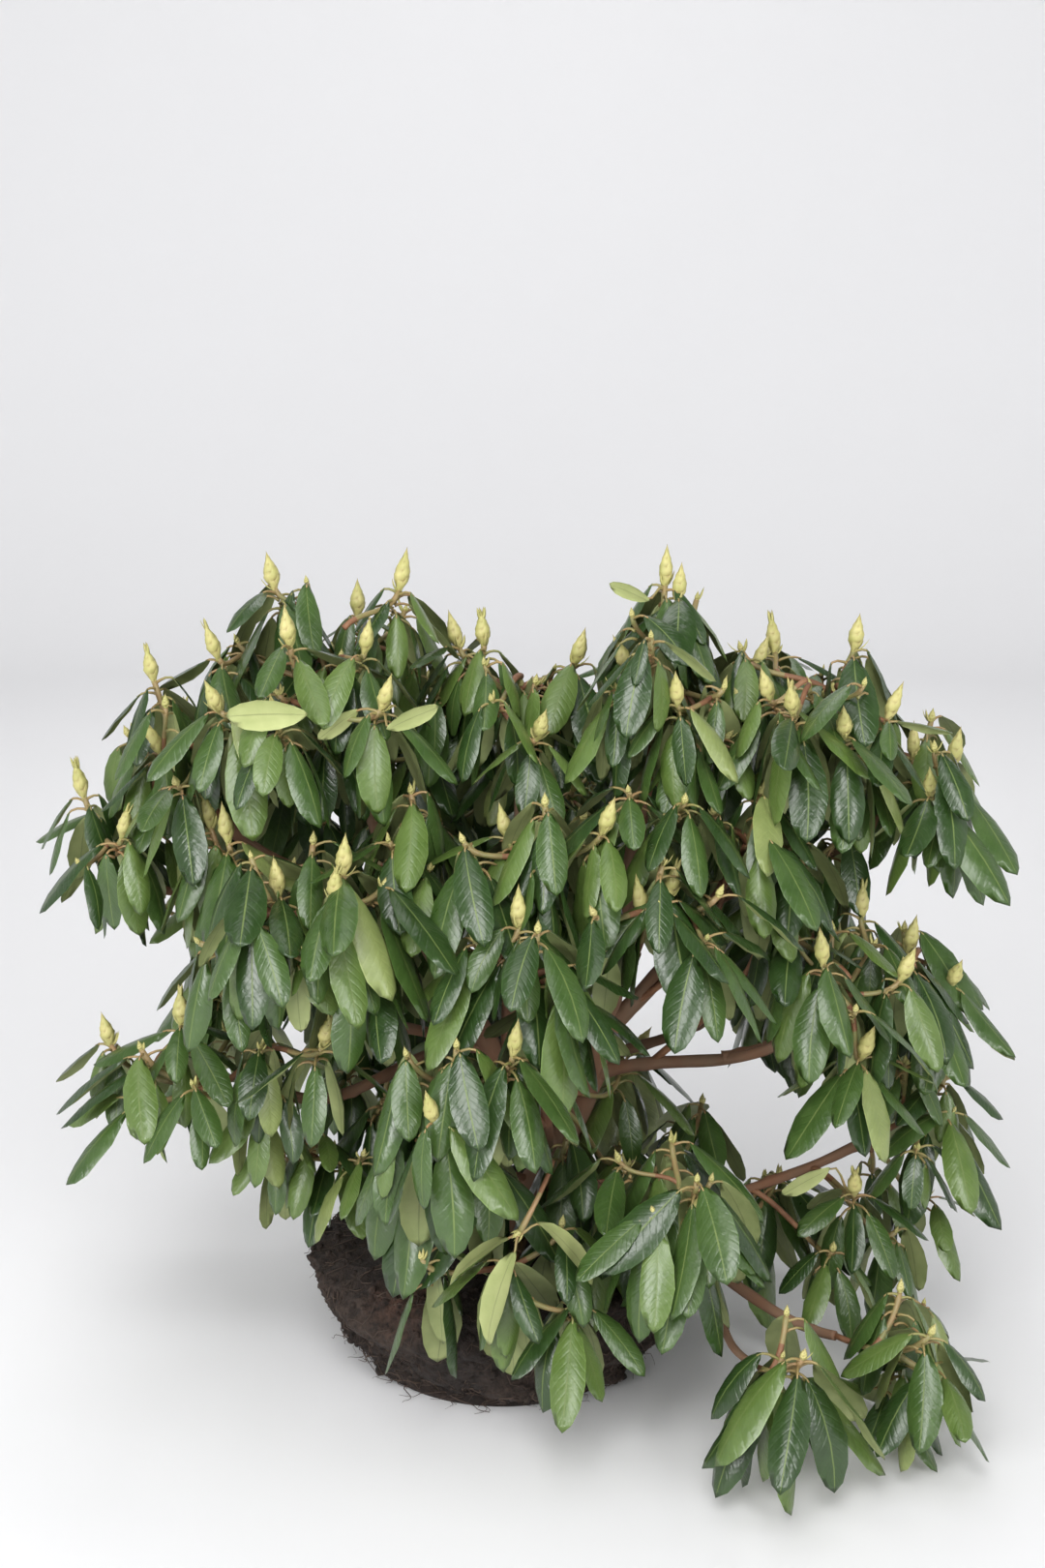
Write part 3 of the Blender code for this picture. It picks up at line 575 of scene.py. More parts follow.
def seen_shoot(ring, mass, own):
    """A shoot to one ring: from the wood that is nearest below it, out, and up into its bud."""
    place = np.array(ring.place)
    points, onward = wood_of(mass, own)
    away = np.linalg.norm(points - place, axis=1) + 0.7 * np.maximum(0, points[:, 2] - place[2] + DROP)
    away += 0.5 * np.maximum(0, SHORTEST - np.linalg.norm(points - place, axis=1))
    start, along = points[away.argmin()], onward[away.argmin()]
    way = unit(place - start)
    outward = unit(place - np.array(mass.heart))
    lean = unit(0.75 * UP + 0.30 * outward + 0.25 * way)
    radius = 0.0030 + 0.012 * min(0.1, np.linalg.norm(place - start))
    corners = corners_between(start, unit(0.6 * along + way), place, lean)
    return Shoot(mass, corners, radius, "seen", ring.flower)


def in_the_open(tip):
    """Whether a tip stands, from the camera, before or behind a place that the photo shows open."""
    eye = np.array(CAMERA_PLACE)
    point = eye + (tip - eye) * (OPEN_DEPTH - eye[1]) / (tip[1] - eye[1])
    return min(math.hypot(point[0] - x, point[2] - z) for x, z in OPEN_PLACES) < OPEN_RADIUS


def short_of_the_open(shoot):
    """The same shoot, or a shorter one where its tip would stand in the open."""
    start = shoot.corners[0]
    if in_the_open(shoot.corners[-1] + 0.01 * UP):
        return shoot._replace(corners=start + SHORTENED * (shoot.corners - start))
    return shoot


MAIN = [short_of_the_open(shoot) for shoot in MAIN_SHOOTS]
SEEN = []
for ring in SEEN_RINGS:
    mass = MASS_NAMED[ring.mass]
    own = [shoot for shoot in MAIN_SHOOTS if shoot.mass is mass]
    away = [np.linalg.norm(shoot.corners[-1] - ring.place) for shoot in MAIN]
    nearest = int(np.argmin(away))
    if away[nearest] < SAME_RING and MAIN[nearest].flower is None:
        MAIN[nearest] = MAIN[nearest]._replace(flower=ring.flower)
    else:
        SEEN.append(seen_shoot(ring, mass, own))
print(len(SEEN), "shoots to rings of their own;", len(SEEN_RINGS) - len(SEEN), "rings fall on main shoots")

# %% Finer side shoots, each where it is furthest from the other tips
CLOSEST_TIPS = 0.046
FINE_SHARE = 0.9
FINE_REACH = 1.08
FINE_RADIUS = 0.0032
FINE_LOWEST = 0.09
LIMB_CLEAR = 0.014
BACK_SPARE = 0.25
CANDIDATES = 36
# Masses that the photo shows loose have few or no finer shoots; the masses behind have more
SHARES = {
    "front_low": 0, "left_foot": 0, "left_arm": 0.3, "front_foot": 0.5, "right_foot": 0.3, "right_low": 0.5,
    "back_left_top": 1.6, "back_right_top": 1.6, "back_centre": 2.4, "back_left": 2.0, "back_right": 2.0,
    "back_low": 2.4,
}


def fine_shoots(mass, own, tips, trees):
    """Side shoots from a mass's own: of many candidates the loneliest is kept, while it is lonely enough."""
    rng = np.random.default_rng([SEED, MASSES.index(mass)])
    made = []
    while len(made) < SHARES.get(mass.name, FINE_SHARE) * mass.shoots:
        best, best_away = None, CLOSEST_TIPS
        for _ in range(CANDIDATES):
            parent = own[rng.integers(len(own))]
            start, along = at_fraction(bezier(parent.corners, 8), rng.uniform(0.35, 0.80))
            spread = math.radians(rng.uniform(30, 70))
            swing = unit(np.cross(along, unit(rng.normal(size=3))))
            way = unit(math.cos(spread) * along + math.sin(spread) * swing + 0.15 * UP)
            tip = start + way * rng.uniform(0.045, 0.085)
            reach = FINE_REACH + BACK_SPARE * mass.name.startswith("back")
            outside = np.linalg.norm((tip - mass.heart) / np.array(mass.reach)) > reach
            away = np.linalg.norm(tips - tip, axis=1).min()
            if outside or away < best_away or tip[2] < FINE_LOWEST or in_the_open(tip + 0.01 * UP):
                continue
            if any(tree.find_nearest(tip.tolist(), LIMB_CLEAR)[0] for tree in trees):
                continue
            corners = corners_between(start, unit(along + way), tip, unit(0.60 * UP + 0.50 * way))
            best, best_away = Shoot(mass, corners, FINE_RADIUS, "fine", None), away
        if best is None:
            break
        made.append(best)
        tips = np.vstack([tips, best.corners[-1]])
    return made, tips


# Two thin limbs that cross the gap at the right, in millimetres, and the mass that each ends in
BARE_LIMBS = [
    ("right_inner", (159, -30, 371), (214, -60, 410), (281, -70, 446), (283, -70, 540)),
    ("right_centre", (156, -20, 385), (180, -50, 453), (233, -60, 483), (240, -60, 570)),
]
BARE_LIMB_RADIUS = 0.0056
# A drooping twig over the root ball, which carries only leaves that have turned over
DROOPING = ("front_low", (53, -250, 324), (47, -275, 316), (34, -290, 294), (20, -298, 271))
TWIG_RADIUS = 0.0026


def bare_limb(name, *corners):
    """A thin limb that starts on the middle line of the nearest bough."""
    corners = np.array([metres(corner) for corner in corners])
    wood = np.vstack([limb_path(bough, COARSE, 40) for bough in BOUGHS])
    corners[0] = wood[np.linalg.norm(wood - corners[0], axis=1).argmin()]
    return Shoot(MASS_NAMED[name], corners, BARE_LIMB_RADIUS, "limb", False)


SEEN += [bare_limb(*row) for row in BARE_LIMBS]
twig = np.array([metres(corner) for corner in DROOPING[1:]])
SEEN.append(Shoot(MASS_NAMED[DROOPING[0]], twig, TWIG_RADIUS, "twig", False))
FINE = []
tips = np.array([shoot.corners[-1] for shoot in MAIN + SEEN])
for mass in MASSES:
    finer, tips = fine_shoots(mass, [shoot for shoot in MAIN if shoot.mass is mass], tips, LIMB_TREES)
    FINE += finer
ALL_SHOOTS = SEEN + MAIN + FINE
TIPS = np.array([shoot.corners[-1] for shoot in ALL_SHOOTS])
print(len(ALL_SHOOTS), "shoots in all,", len(FINE), "of them finer ones")

# %% [markdown]
# ## Where each leaf hangs
#
# The leaves sit in a ring at the end of a shoot, each turned by the golden angle from the last and set a
# little lower. They hang: in the photo nearly every blade slopes steeply down, the youngest ones least. A
# leaf here is a few numbers, such as its heading, its length and its slope at both ends. Each one is tried
# against the limbs and the leaves around it, and turned or shortened until it fits, because crossing leaves
# would look wrong.

# %% Blade of a leaf as a surface of two parameters
BLADE_SHARES = np.array([0.0, 0.05, 0.17, 0.36, 0.58, 0.79, 0.93, 1.0])
# Places across the blade, round its section: the upper side from right to left, then the under side back
SECTION = np.array([1.0, 0.5, 0.042, -0.042, -0.5, -1.0, -0.5, 0.0, 0.5])
UPPER = 6
Leaf = namedtuple("Leaf", "root heading length width first last roll twist sway cup wave")
EDGE_ROLL = 0.20
MIDRIB_DIP, MIDRIB_SPREAD = 0.06, 0.16
RIPPLE, RIPPLES = 0.06, 2.0
BLADE_THICKNESS = 0.0008
KEEL, KEEL_SPREAD = 0.0009, 0.12


def outline(share):
    """Half the blade's width at a share of its length: (4 s (1 - s)) ^ 0.62, where s = share ^ 1.14."""
    skewed = share**1.14
    return (4 * skewed * (1 - skewed)) ** 0.62


def blade_frame(leaf, share):
    """Midrib point, sideways and upper directions: an arc from slope first to slope last."""
    first, last, length = leaf.first[:, None], leaf.last[:, None], leaf.length[:, None]
    slope = first + (last - first) * share
    level = length * (np.sin(slope) - np.sin(first)) / (last - first)
    fall = length * (np.cos(first) - np.cos(slope)) / (last - first)
    onward = level_way(leaf.heading)[:, None]
    side = np.cross(UP, onward)
    bent = (leaf.sway[:, None] * length * share**2)[..., None]
    middle = leaf.root[:, None] + onward * level[..., None] - UP * fall[..., None] + side * bent
    upper = onward * np.sin(slope)[..., None] + UP * np.cos(slope)[..., None]
    turn = (leaf.roll[:, None] + leaf.twist[:, None] * share)[..., None]
    return middle, side * np.cos(turn) + upper * np.sin(turn), upper * np.cos(turn) - side * np.sin(turn)


def blade_points(leaf, share, place, under):
    """Points (leaves, shares, places, 3): midrib + place * half width * side + height * upper.

    The height curves with the square of place, dips at the midrib, rolls down at the edge and ripples along
    it. The under side lies a thickness below, which fades to nothing at the edge, with a keel in the middle.
    """
    middle, side, upper = blade_frame(leaf, share)
    half = (leaf.width[:, None] / 2 * outline(share))[..., None]
    dip = MIDRIB_DIP * np.exp(-((place / MIDRIB_SPREAD) ** 2))
    bend = leaf.cup[:, None, None] * place**2 - EDGE_ROLL * place**4 - dip
    ripple = RIPPLE * np.sin(FULL_TURN * (RIPPLES * share[:, None] + leaf.wave[:, None, None])) * place**2
    thick = under * (BLADE_THICKNESS * (1 - place**2) + KEEL * np.exp(-((place / KEEL_SPREAD) ** 2)))
    height = (bend + ripple) * half - thick * np.minimum(1, 12 * (1 - share[:, None]))
    outward = side[:, :, None] * (place * half)[..., None]
    return middle[:, :, None] + outward + upper[:, :, None] * height[..., None]


print("the blade is", outline(np.array([0.1, 0.5, 0.9])).round(2), "of its full width at 0.1, 0.5 and 0.9")

# %% Hang the leaves, shoot by shoot
STALK_LENGTH = 0.017
BLADE_LENGTH = 0.104
BLADE_WIDTH = 0.360
TURNED_WIDTH = 0.44
LEAF_COUNT = (7, 10)
LEAF_TRIES = 7
# Distance of a ring's first stalk below the tip, and of each next stalk below the last
RING_TOP, RING_STEP = 0.003, 0.0034
# Slope of the first leaf of a ring, what the last has more, and the most, in degrees
HANG, HANG_MORE, HANG_MOST = 25, 30, 96
NEAR_LEAF = 0.10
BOX_SPARE = 0.008
LOWEST_LEAF = 0.005
# The ball without its lumps, for the tests
PLAIN_BALL = (
    np.array([[0, 0, 0.0], [0, 0, 0.06], [0, 0, 0.125], [0.02, 0, 0.152]]),
    [0.155, 0.205, 0.217, 0.07],
)
# Lines of sight: how far they run each way, and their radius before buds and before the rest
SIGHT_AHEAD, SIGHT_BEHIND = 0.40, 0.40
OPEN_AHEAD = 0.45
BUD_SIGHT, OPEN_SIGHT = 0.006, 0.012
# The photo's leaves are small on the domes and the arm, and large low at the front
LEAF_SCALE = {
    "left_dome": 0.88, "left_shoulder": 0.90, "far_left": 0.98, "left_arm": 0.84, "left_foot": 0.78,
    "centre_top": 0.86, "right_dome": 0.86, "right_shoulder": 0.92, "right_low": 0.74, "right_foot": 0.86,
    "left_front": 1.04, "centre_front": 1.08, "centre_low": 1.10, "front_right": 1.12, "front_low": 1.04,
    "front_foot": 1.22, "right_arm_tip": 1.08, "back_centre": 1.12, "back_left": 1.10, "back_right": 1.10,
    "back_low": 1.12,
}
CARD_SHARES = np.array([0.06, 0.30, 0.55, 0.80, 0.97])
CARD_PLACES = np.array([-0.9, 0.0, 0.9])
CARD_FACES = [(r * 3 + c, r * 3 + c + 1, r * 3 + c + 4, r * 3 + c + 3) for r in range(4) for c in range(2)]
CARD_MIDDLE = 7

# Places on the near side of the root ball, and along the limbs, that the photo shows bare
BARE_PLACES = [
    (-0.14, -0.17, 0.13), (-0.09, -0.19, 0.08), (0.02, -0.17, 0.03), (-0.12, -0.19, 0.12),
    (0.14, -0.03, 0.33), (0.15, -0.03, 0.39), (0.16, -0.03, 0.45), (0.24, -0.05, 0.54),
    (0.26, -0.03, 0.47), (0.26, -0.03, 0.36),
]

# Leaves that the photo shows turned over, pale side out: the blade's root, its heading, its length, its
# slope at both ends and its roll, in degrees
TURNED_LEAVES = [
    ((0.010, -0.300, 0.265), 185, 0.078, 28, 50, 180),
    ((0.016, -0.310, 0.256), 212, 0.098, 62, 80, 180),
    ((0.037, -0.290, 0.277), -12, 0.084, 34, 62, 180),
    ((-0.189, -0.190, 0.768), 178, 0.082, -4, 8, 66),
    ((-0.114, -0.170, 0.749), 12, 0.058, -28, -16, -62),
    ((-0.143, -0.140, 0.764), 190, 0.052, 26, 44, 58),
    ((0.349, -0.140, 0.271), 182, 0.06, 24, 36, 64),
    ((0.153, -0.090, 0.868), 180, 0.046, -30, -16, 50),
]


def turned_leaves():
    """The leaves of that table, each on the shoot whose tip is nearest."""
    leaves, stems, owners = [], [], []
    for root, heading, length, first, last, roll in TURNED_LEAVES:
        owner = int(np.linalg.norm(TIPS - root, axis=1).argmin())
        angles = [math.radians(value) for value in (heading, first, last, roll)]
        shape = angles[0], length, TURNED_WIDTH * length, *angles[1:]
        leaves.append(Leaf(np.array(root), *shape, 0.1, 0.0, -0.1, 0.3))
        stems.append(TIPS[owner] - 0.004 * UP)
        owners.append(owner)
    return leaves, stems, owners


def sight_lines():
    """Thin tubes towards the camera, with no leaf in them: before buds, turned leaves, bare peat and gaps."""
    eye = np.array(CAMERA_PLACE)
    buds = [shoot.corners[-1] + 0.024 * UP for shoot in ALL_SHOOTS if shoot.flower]
    turned = [np.array(root) for root, *_ in TURNED_LEAVES]
    near = np.array(buds + turned + BARE_PLACES)
    open_places = np.array([(x, OPEN_DEPTH, z) for x, z in OPEN_PLACES])
    starts = np.vstack([near, open_places + SIGHT_BEHIND * unit(open_places - eye)])
    opened = open_places + OPEN_AHEAD * unit(eye - open_places)
    ends = np.vstack([near + SIGHT_AHEAD * unit(eye - near), opened])
    paths = starts[:, None] + (ends - starts)[:, None] * np.linspace(0, 1, 6)[:, None]
    radii = np.full((len(paths), 6), BUD_SIGHT)
    radii[len(buds) :] = OPEN_SIGHT
    return search_tree(*tubes(paths, radii, 4))


SIGHT = sight_lines()


def card_of(leaf):
    """Fifteen points of one leaf's blade, for the tests."""
    one = Leaf(*(np.asarray(value, float)[None] for value in leaf))
    return blade_points(one, CARD_SHARES, CARD_PLACES, 0).reshape(-1, 3)


def blade_tree(card):
    """A search tree of a leaf's blade."""
    return BVHTree.FromPolygons(card.tolist(), CARD_FACES)


def one_leaf(rng, shoot, order, count, heading, slump, size):
    """A leaf and where its stalk leaves the shoot: the lower its place in the ring, the steeper it hangs."""
    depth = order / (count - 1)
    tip = shoot.corners[-1]
    axis = unit(tip - shoot.corners[-2])
    stem = tip - axis * (RING_TOP + RING_STEP * order)
    onward = np.array([math.cos(heading), math.sin(heading), 0.0])
    stalk = STALK_LENGTH * rng.uniform(0.75, 1.3)
    root = stem + stalk * unit(onward + 0.5 * (1 - depth) * axis - 0.1 * UP)
    first = math.radians(HANG + HANG_MORE * depth + slump + rng.normal(0, 9))
    last = min(first + math.radians(rng.uniform(10, 40)), math.radians(HANG_MOST))
    first = min(first, last - 0.10)
    length = BLADE_LENGTH * size * rng.uniform(0.80, 1.16) * (0.90 if order < 2 else 1)
    width = length * BLADE_WIDTH * rng.uniform(0.88, 1.12)
    turns = rng.normal(0, 0.26), rng.normal(0, 0.22), rng.normal(0, 0.06)
    shape = *turns, rng.uniform(-0.34, 0.08), rng.uniform(0, 1)
    return Leaf(root, heading, length, width, first, last, *shape), stem


def fits(card, tree, ball, centres, trees):
    """Whether a blade stays in the box and off the floor, the limbs, the ball and the blades near it."""
    low, high = card.min(axis=0), card.max(axis=0)
    if (low < CAD_LOW - BOX_SPARE).any() or (high > CAD_HIGH + BOX_SPARE).any() or low[2] < LOWEST_LEAF:
        return False
    if tree.overlap(SIGHT) or tree.overlap(ball) or any(tree.overlap(limb) for limb in LIMB_TREES):
        return False
    near = np.flatnonzero(np.linalg.norm(centres - card[CARD_MIDDLE], axis=1) < NEAR_LEAF)
    return not any(tree.overlap(trees[other]) for other in near)


def hang_leaves(shoots):
    """Leaves for every shoot but the twig; a pose that crosses something is tried again, then left out."""
    leaves, stems, owners = turned_leaves()
    cards = [card_of(leaf) for leaf in leaves]
    centres, trees = np.array([card[CARD_MIDDLE] for card in cards]), [blade_tree(card) for card in cards]
    ball = tree_of_tube(*PLAIN_BALL, 24)
    for number, shoot in enumerate(shoots):
        if shoot.kind == "twig":
            continue
        rng = np.random.default_rng([SEED, 7, number])
        count = int(rng.integers(LEAF_COUNT[0], LEAF_COUNT[1] + 1))
        size = LEAF_SCALE.get(shoot.mass.name, 1) * rng.uniform(0.90, 1.12)
        turn, slump = rng.uniform(0, FULL_TURN), rng.normal(6, 8)
        ease = -11 if shoot.corners[-1][2] < 0.14 else 4
        for order in range(count):
            for attempt in range(LEAF_TRIES):
                heading = turn + order * GOLDEN_ANGLE + rng.normal(0, 0.16 + 0.10 * attempt)
                slope, scale = slump + ease * attempt, size * 0.96**attempt
                leaf, stem = one_leaf(rng, shoot, order, count, heading, slope, scale)
                card = card_of(leaf)
                tree = blade_tree(card)
                if fits(card, tree, ball, centres, trees):
                    leaves.append(leaf)
                    stems.append(stem)
                    owners.append(number)
                    trees.append(tree)
                    centres = np.vstack([centres, card[CARD_MIDDLE]])
                    break
    columns = [np.array([getattr(leaf, field) for leaf in leaves]) for field in Leaf._fields]
    return Leaf(*columns), np.array(stems), np.array(owners)


LEAVES, STEMS, OWNERS = hang_leaves(ALL_SHOOTS)
print(len(OWNERS), "leaves,", round(len(OWNERS) / len(ALL_SHOOTS), 1), "on a shoot")

# %% [markdown]
# ## Putting points into meshes
#
# All the pieces are made of four-sided and three-sided faces from arrays. One helper hands them to Blender
# in bulk, with a material number for each face and a flat map for each point where a pattern has to follow
# the shape.

# %% Mesh helper
def make_piece(name, points, quads, tris, materials, quad_slots=0, tri_slots=0, flat_map=None):
    """A new object from arrays: points, faces, a material number per face and a two-number map per point."""
    mesh = bpy.data.meshes.new(name)
    loops = np.concatenate([quads.ravel(), tris.ravel()]).astype(np.int32)
    starts = np.concatenate([4 * np.arange(len(quads)), 4 * len(quads) + 3 * np.arange(len(tris))])
    slots = np.concatenate([np.zeros(len(quads)) + quad_slots, np.zeros(len(tris)) + tri_slots])
    mesh.vertices.add(len(points))
    mesh.vertices.foreach_set("co", points.astype(np.float32).ravel())
    mesh.loops.add(len(loops))
    mesh.loops.foreach_set("vertex_index", loops)
    mesh.polygons.add(len(starts))
    mesh.polygons.foreach_set("loop_start", starts.astype(np.int32))
    mesh.polygons.foreach_set("material_index", slots.astype(np.int32))
    mesh.polygons.foreach_set("use_smooth", np.ones(len(starts), bool))
    if flat_map is not None:
        layer = mesh.uv_layers.new(name="along")
        layer.data.foreach_set("uv", flat_map[loops].astype(np.float32).ravel())
    for material in materials:
        mesh.materials.append(material)
    mesh.update(calc_edges=True)
    made = bpy.data.objects.new(name, mesh)
    bpy.context.scene.collection.objects.link(made)
    triangles = 2 * len(quads) + len(tris)
    print(f"{name}: {triangles} triangles")
    return made


def joined(*parts):
    """Several sets of (points, quads, tris) as one, with the point numbers moved on."""
    counts = np.cumsum([0] + [len(part[0]) for part in parts])
    points = np.concatenate([part[0] for part in parts])
    quads = np.concatenate([part[1] + start for part, start in zip(parts, counts)])
    tris = np.concatenate([part[2] + start for part, start in zip(parts, counts)])
    return points, quads, tris


def value_noise(points, seed):
    """Smooth noise from -1 to 1: random values at whole corners, blended by 3 t^2 - 2 t^3 on each axis."""
    cell = np.floor(points).astype(np.int64)
    part = points - cell
    part = part * part * (3 - 2 * part)
    total = np.zeros(points.shape[:-1])
    for corner in itertools.product((0, 1), repeat=3):
        at = cell + np.array(corner)
        mixed = at[..., 0] * 73856093 ^ at[..., 1] * 19349663 ^ at[..., 2] * 83492791 ^ seed * 2654435761
        mixed = ((mixed ^ (mixed >> 13)) * 1274126177) & 0xFFFFFFFF
        value = ((mixed ^ (mixed >> 16)) & 0xFFFF) / 32767.5 - 1
        total += value * np.prod(np.where(np.array(corner) == 1, part, 1 - part), axis=-1)
    return total


NOISE_TEST = np.array([[0.3, 0.2, 0.1], [4.5, 1.2, 0.7], [9.1, 3.3, 2.2]])
print("noise at three places:", value_noise(NOISE_TEST, 1).round(2))

# %% [markdown]
# ## Materials as sums
#
# A finish is a small formula: a colour that drifts, a roughness that follows it, a little relief. Node by
# node that gets long, so a value is wrapped in a class whose plus, minus and times signs add the Math
# nodes. A second class starts a material and adds any other node by its type.

# %% Paint helpers
def math_node(operation, swapped=False):
    """A method that adds one Math node and gives its result as a new Value."""

    def method(self, other=0):
        first, second = (other, self) if swapped else (self, other)
        made = self.paint.node("ShaderNodeMath", {"operation": operation}, {0: first, 1: second})
        return Value(self.paint, made)

    return method


class Value:
    """A number that varies over a surface; arithmetic on it adds Math nodes."""

    def __init__(self, paint, socket):
        self.paint, self.socket = paint, socket

    __add__ = __radd__ = math_node("ADD")
    __mul__ = __rmul__ = math_node("MULTIPLY")
    __sub__, __rsub__ = math_node("SUBTRACT"), math_node("SUBTRACT", swapped=True)
    __pow__ = math_node("POWER")
    above, below = math_node("GREATER_THAN"), math_node("LESS_THAN")
    sine, size = math_node("SINE"), math_node("ABSOLUTE")


# Clouds of two colours: the noise is stretched past 0 and 1, so that both colours show unmixed in places
CLOUD_GAIN, CLOUD_SHIFT = 1.8, 0.4


class Paint:
    """A material on one Principled shader, built up by adding nodes."""

    def __init__(self, name, roughness, **plain):
        self.material = bpy.data.materials.new(name)
        self.material.use_nodes = True
        self.tree = self.material.node_tree
        self.shader = self.tree.nodes["Principled BSDF"]
        self.set("Roughness", roughness)
        for socket, value in plain.items():
            self.set(socket.replace("_", " ").title().replace("Ior", "IOR"), value)

    def set(self, socket, value):
        """Gives one of the shader's own sockets a value or a link."""
        self.put(self.shader.inputs[socket], value)

    def put(self, target, value):
        """A link where the value is a socket, otherwise the plain value."""
        if isinstance(value, (Value, bpy.types.NodeSocket)):
            self.tree.links.new(getattr(value, "socket", value), target)
        else:
            target.default_value = value

    def node(self, kind, settings, sockets, output=0):
        """Any node: its type, its settings, its sockets' values or links, and the output that is wanted."""
        made = self.tree.nodes.new(kind)
        for name, value in settings.items():
            setattr(made, name, value)
        for name, value in sockets.items():
            self.put(made.inputs[name], value)
        return made.outputs[output]

    def place(self, stretch=(1, 1, 1)):
        """Object coordinates, stretched."""
        seen = self.node("ShaderNodeTexCoord", {}, {}, "Object")
        return self.node("ShaderNodeMapping", {}, {"Vector": seen, "Scale": stretch})

    def noise(self, scale, detail=3.0, stretch=(1, 1, 1), rough=0.5):
        """Cloudy noise from 0 to 1 over the object."""
        sockets = {"Vector": self.place(stretch), "Scale": scale, "Detail": detail, "Roughness": rough}
        return Value(self, self.node("ShaderNodeTexNoise", {}, sockets, "Fac"))

    def flat_map(self):
        """The two numbers of the piece's own map: across and along."""
        seen = self.node("ShaderNodeUVMap", {"uv_map": "along"}, {})
        apart = self.tree.nodes.new("ShaderNodeSeparateXYZ")
        self.put(apart.inputs[0], seen)
        return Value(self, apart.outputs[0]), Value(self, apart.outputs[1])

    def blend(self, amount, first, second):
        """A colour between two colours."""
        made = self.tree.nodes.new("ShaderNodeMix")
        made.data_type = "RGBA"
        made.clamp_factor = True
        for target, value in ((0, amount), (6, first), (7, second)):
            self.put(made.inputs[target], (*value, 1) if isinstance(value, tuple) else value)
        return made.outputs[2]

    def cloudy(self, drift, first, second):
        """Two colours in clouds."""
        return self.blend(drift * CLOUD_GAIN - CLOUD_SHIFT, first, second)

    def relief(self, height, distance, strength):
        """Bump from a height, in metres at full height."""
        sockets = {"Height": height, "Distance": distance, "Strength": strength}
        self.set("Normal", self.node("ShaderNodeBump", {}, sockets))


print("paint helpers ready")

# %% [markdown]
# ## Leaf finishes
#
# The upper side is dark green, leathery and half glossy, so that soft lamps draw a pale sheen on it. Side
# veins are pressed into it between a light midrib and the edge. No two leaves match, so four greens are
# dealt out leaf by leaf as plain base colours, and each drifts a little inside itself. The under side is
# pale and dull. The leaves that stand turned over get a brighter copy of it, which is painted light for
# the full light they stand in.

# %% Leaf materials
VEINS = 11
VEIN_SLANT = 2.0
BLADE_EDGE = 0.955
MIDRIB_HALF = 0.022


def leaf_paint(name, shade, light, roughness):
    """One green: cloudy between two shades, with faint side veins at a slant and a thin pale edge."""
    paint = Paint(name, roughness, coat_weight=0.28, coat_roughness=0.21)
    across, along = paint.flat_map()
    slant = (across * 2 - 1).size()
    ridge = (((along * VEINS - slant * VEIN_SLANT) * FULL_TURN).sine() * 0.5 + 0.5) ** 6
    drift, fine, blisters = paint.noise(34, 3), paint.noise(330, 2), paint.noise(80, 2)
    pale = tuple(min(1, channel * 1.7) for channel in light)
    colour = paint.blend(ridge * 0.05, paint.cloudy(drift, shade, light), pale)
    paint.set("Base Color", paint.blend(slant.above(BLADE_EDGE) * 0.30, colour, pale))
    paint.set("Roughness", (drift - 0.5) * 0.22 + roughness)
    paint.relief((1 - ridge) * 0.10 + fine * 0.07 + blisters * 0.9, 0.0028, 0.55)
    return paint.material


def plain_paint(name, first, second, roughness, scale, bump=0.0003):
    """A finish that only drifts between two colours, with a fine grain."""
    paint = Paint(name, roughness)
    paint.set("Base Color", paint.cloudy(paint.noise(scale, 4), first, second))
    paint.relief(paint.noise(scale * 9, 3), bump, 0.6)
    return paint.material


def under_paint(name, first, second):
    """The dull under side: pale and cloudy, with the midrib as a greener line."""
    paint = Paint(name, 0.6)
    line = (paint.flat_map()[0] - 0.5).size().below(MIDRIB_HALF)
    colour = paint.cloudy(paint.noise(45, 4), first, second)
    paint.set("Base Color", paint.blend(line * 0.45, colour, tuple(0.45 * channel for channel in first)))
    paint.relief(line * 0.6 + paint.noise(300, 3) * 0.3, 0.0008, 0.7)
    return paint.material


LEAF_MATERIALS = [
    leaf_paint("leaf_deep", (0.014, 0.037, 0.007), (0.032, 0.068, 0.015), 0.31),
    leaf_paint("leaf_green", (0.030, 0.067, 0.012), (0.060, 0.110, 0.025), 0.33),
    leaf_paint("leaf_fresh", (0.066, 0.118, 0.021), (0.112, 0.172, 0.040), 0.36),
    leaf_paint("leaf_pale", (0.150, 0.195, 0.055), (0.230, 0.275, 0.090), 0.46),
    plain_paint("midrib", (0.090, 0.142, 0.036), (0.142, 0.188, 0.054), 0.45, 60),
    under_paint("leaf_under", (0.195, 0.240, 0.085), (0.310, 0.345, 0.145)),
    # The under side once more, brighter: painted light on the turned leaves, which stand in full light
    under_paint("leaf_turned", (0.310, 0.355, 0.130), (0.420, 0.455, 0.195)),
]
print(len(LEAF_MATERIALS), "leaf finishes")

# %% [markdown]
# ## The leaves
#
# Each blade is a closed shell: nine points round its section, carried along its midrib by six rings between
# two end points. Its upper and under sides meet in a sharp edge. The leaves of one side of the shrub are
# joined into one piece, which stands for that side's solid masses.

# %% Make the leaf pieces
REGIONS = ("left", "centre", "right", "back")
# How often a leaf has each of the four greens, and the numbers of the palest and of the other finishes. The
# last is a brighter copy of the under side, painted light for the turned leaves that stand in full light
DEAL = (0.35, 0.41, 0.22, 0.02)
PALE, MIDRIB, UNDER, UNDER_LIT = 3, 4, 5, 6


def region_of(mass):
    """Which of the four leaf pieces a mass belongs to."""
    word = {"far_left": "left", "front_low": "centre"}.get(mass.name, mass.name.split("_")[0])
    return word if word in REGIONS else "right"


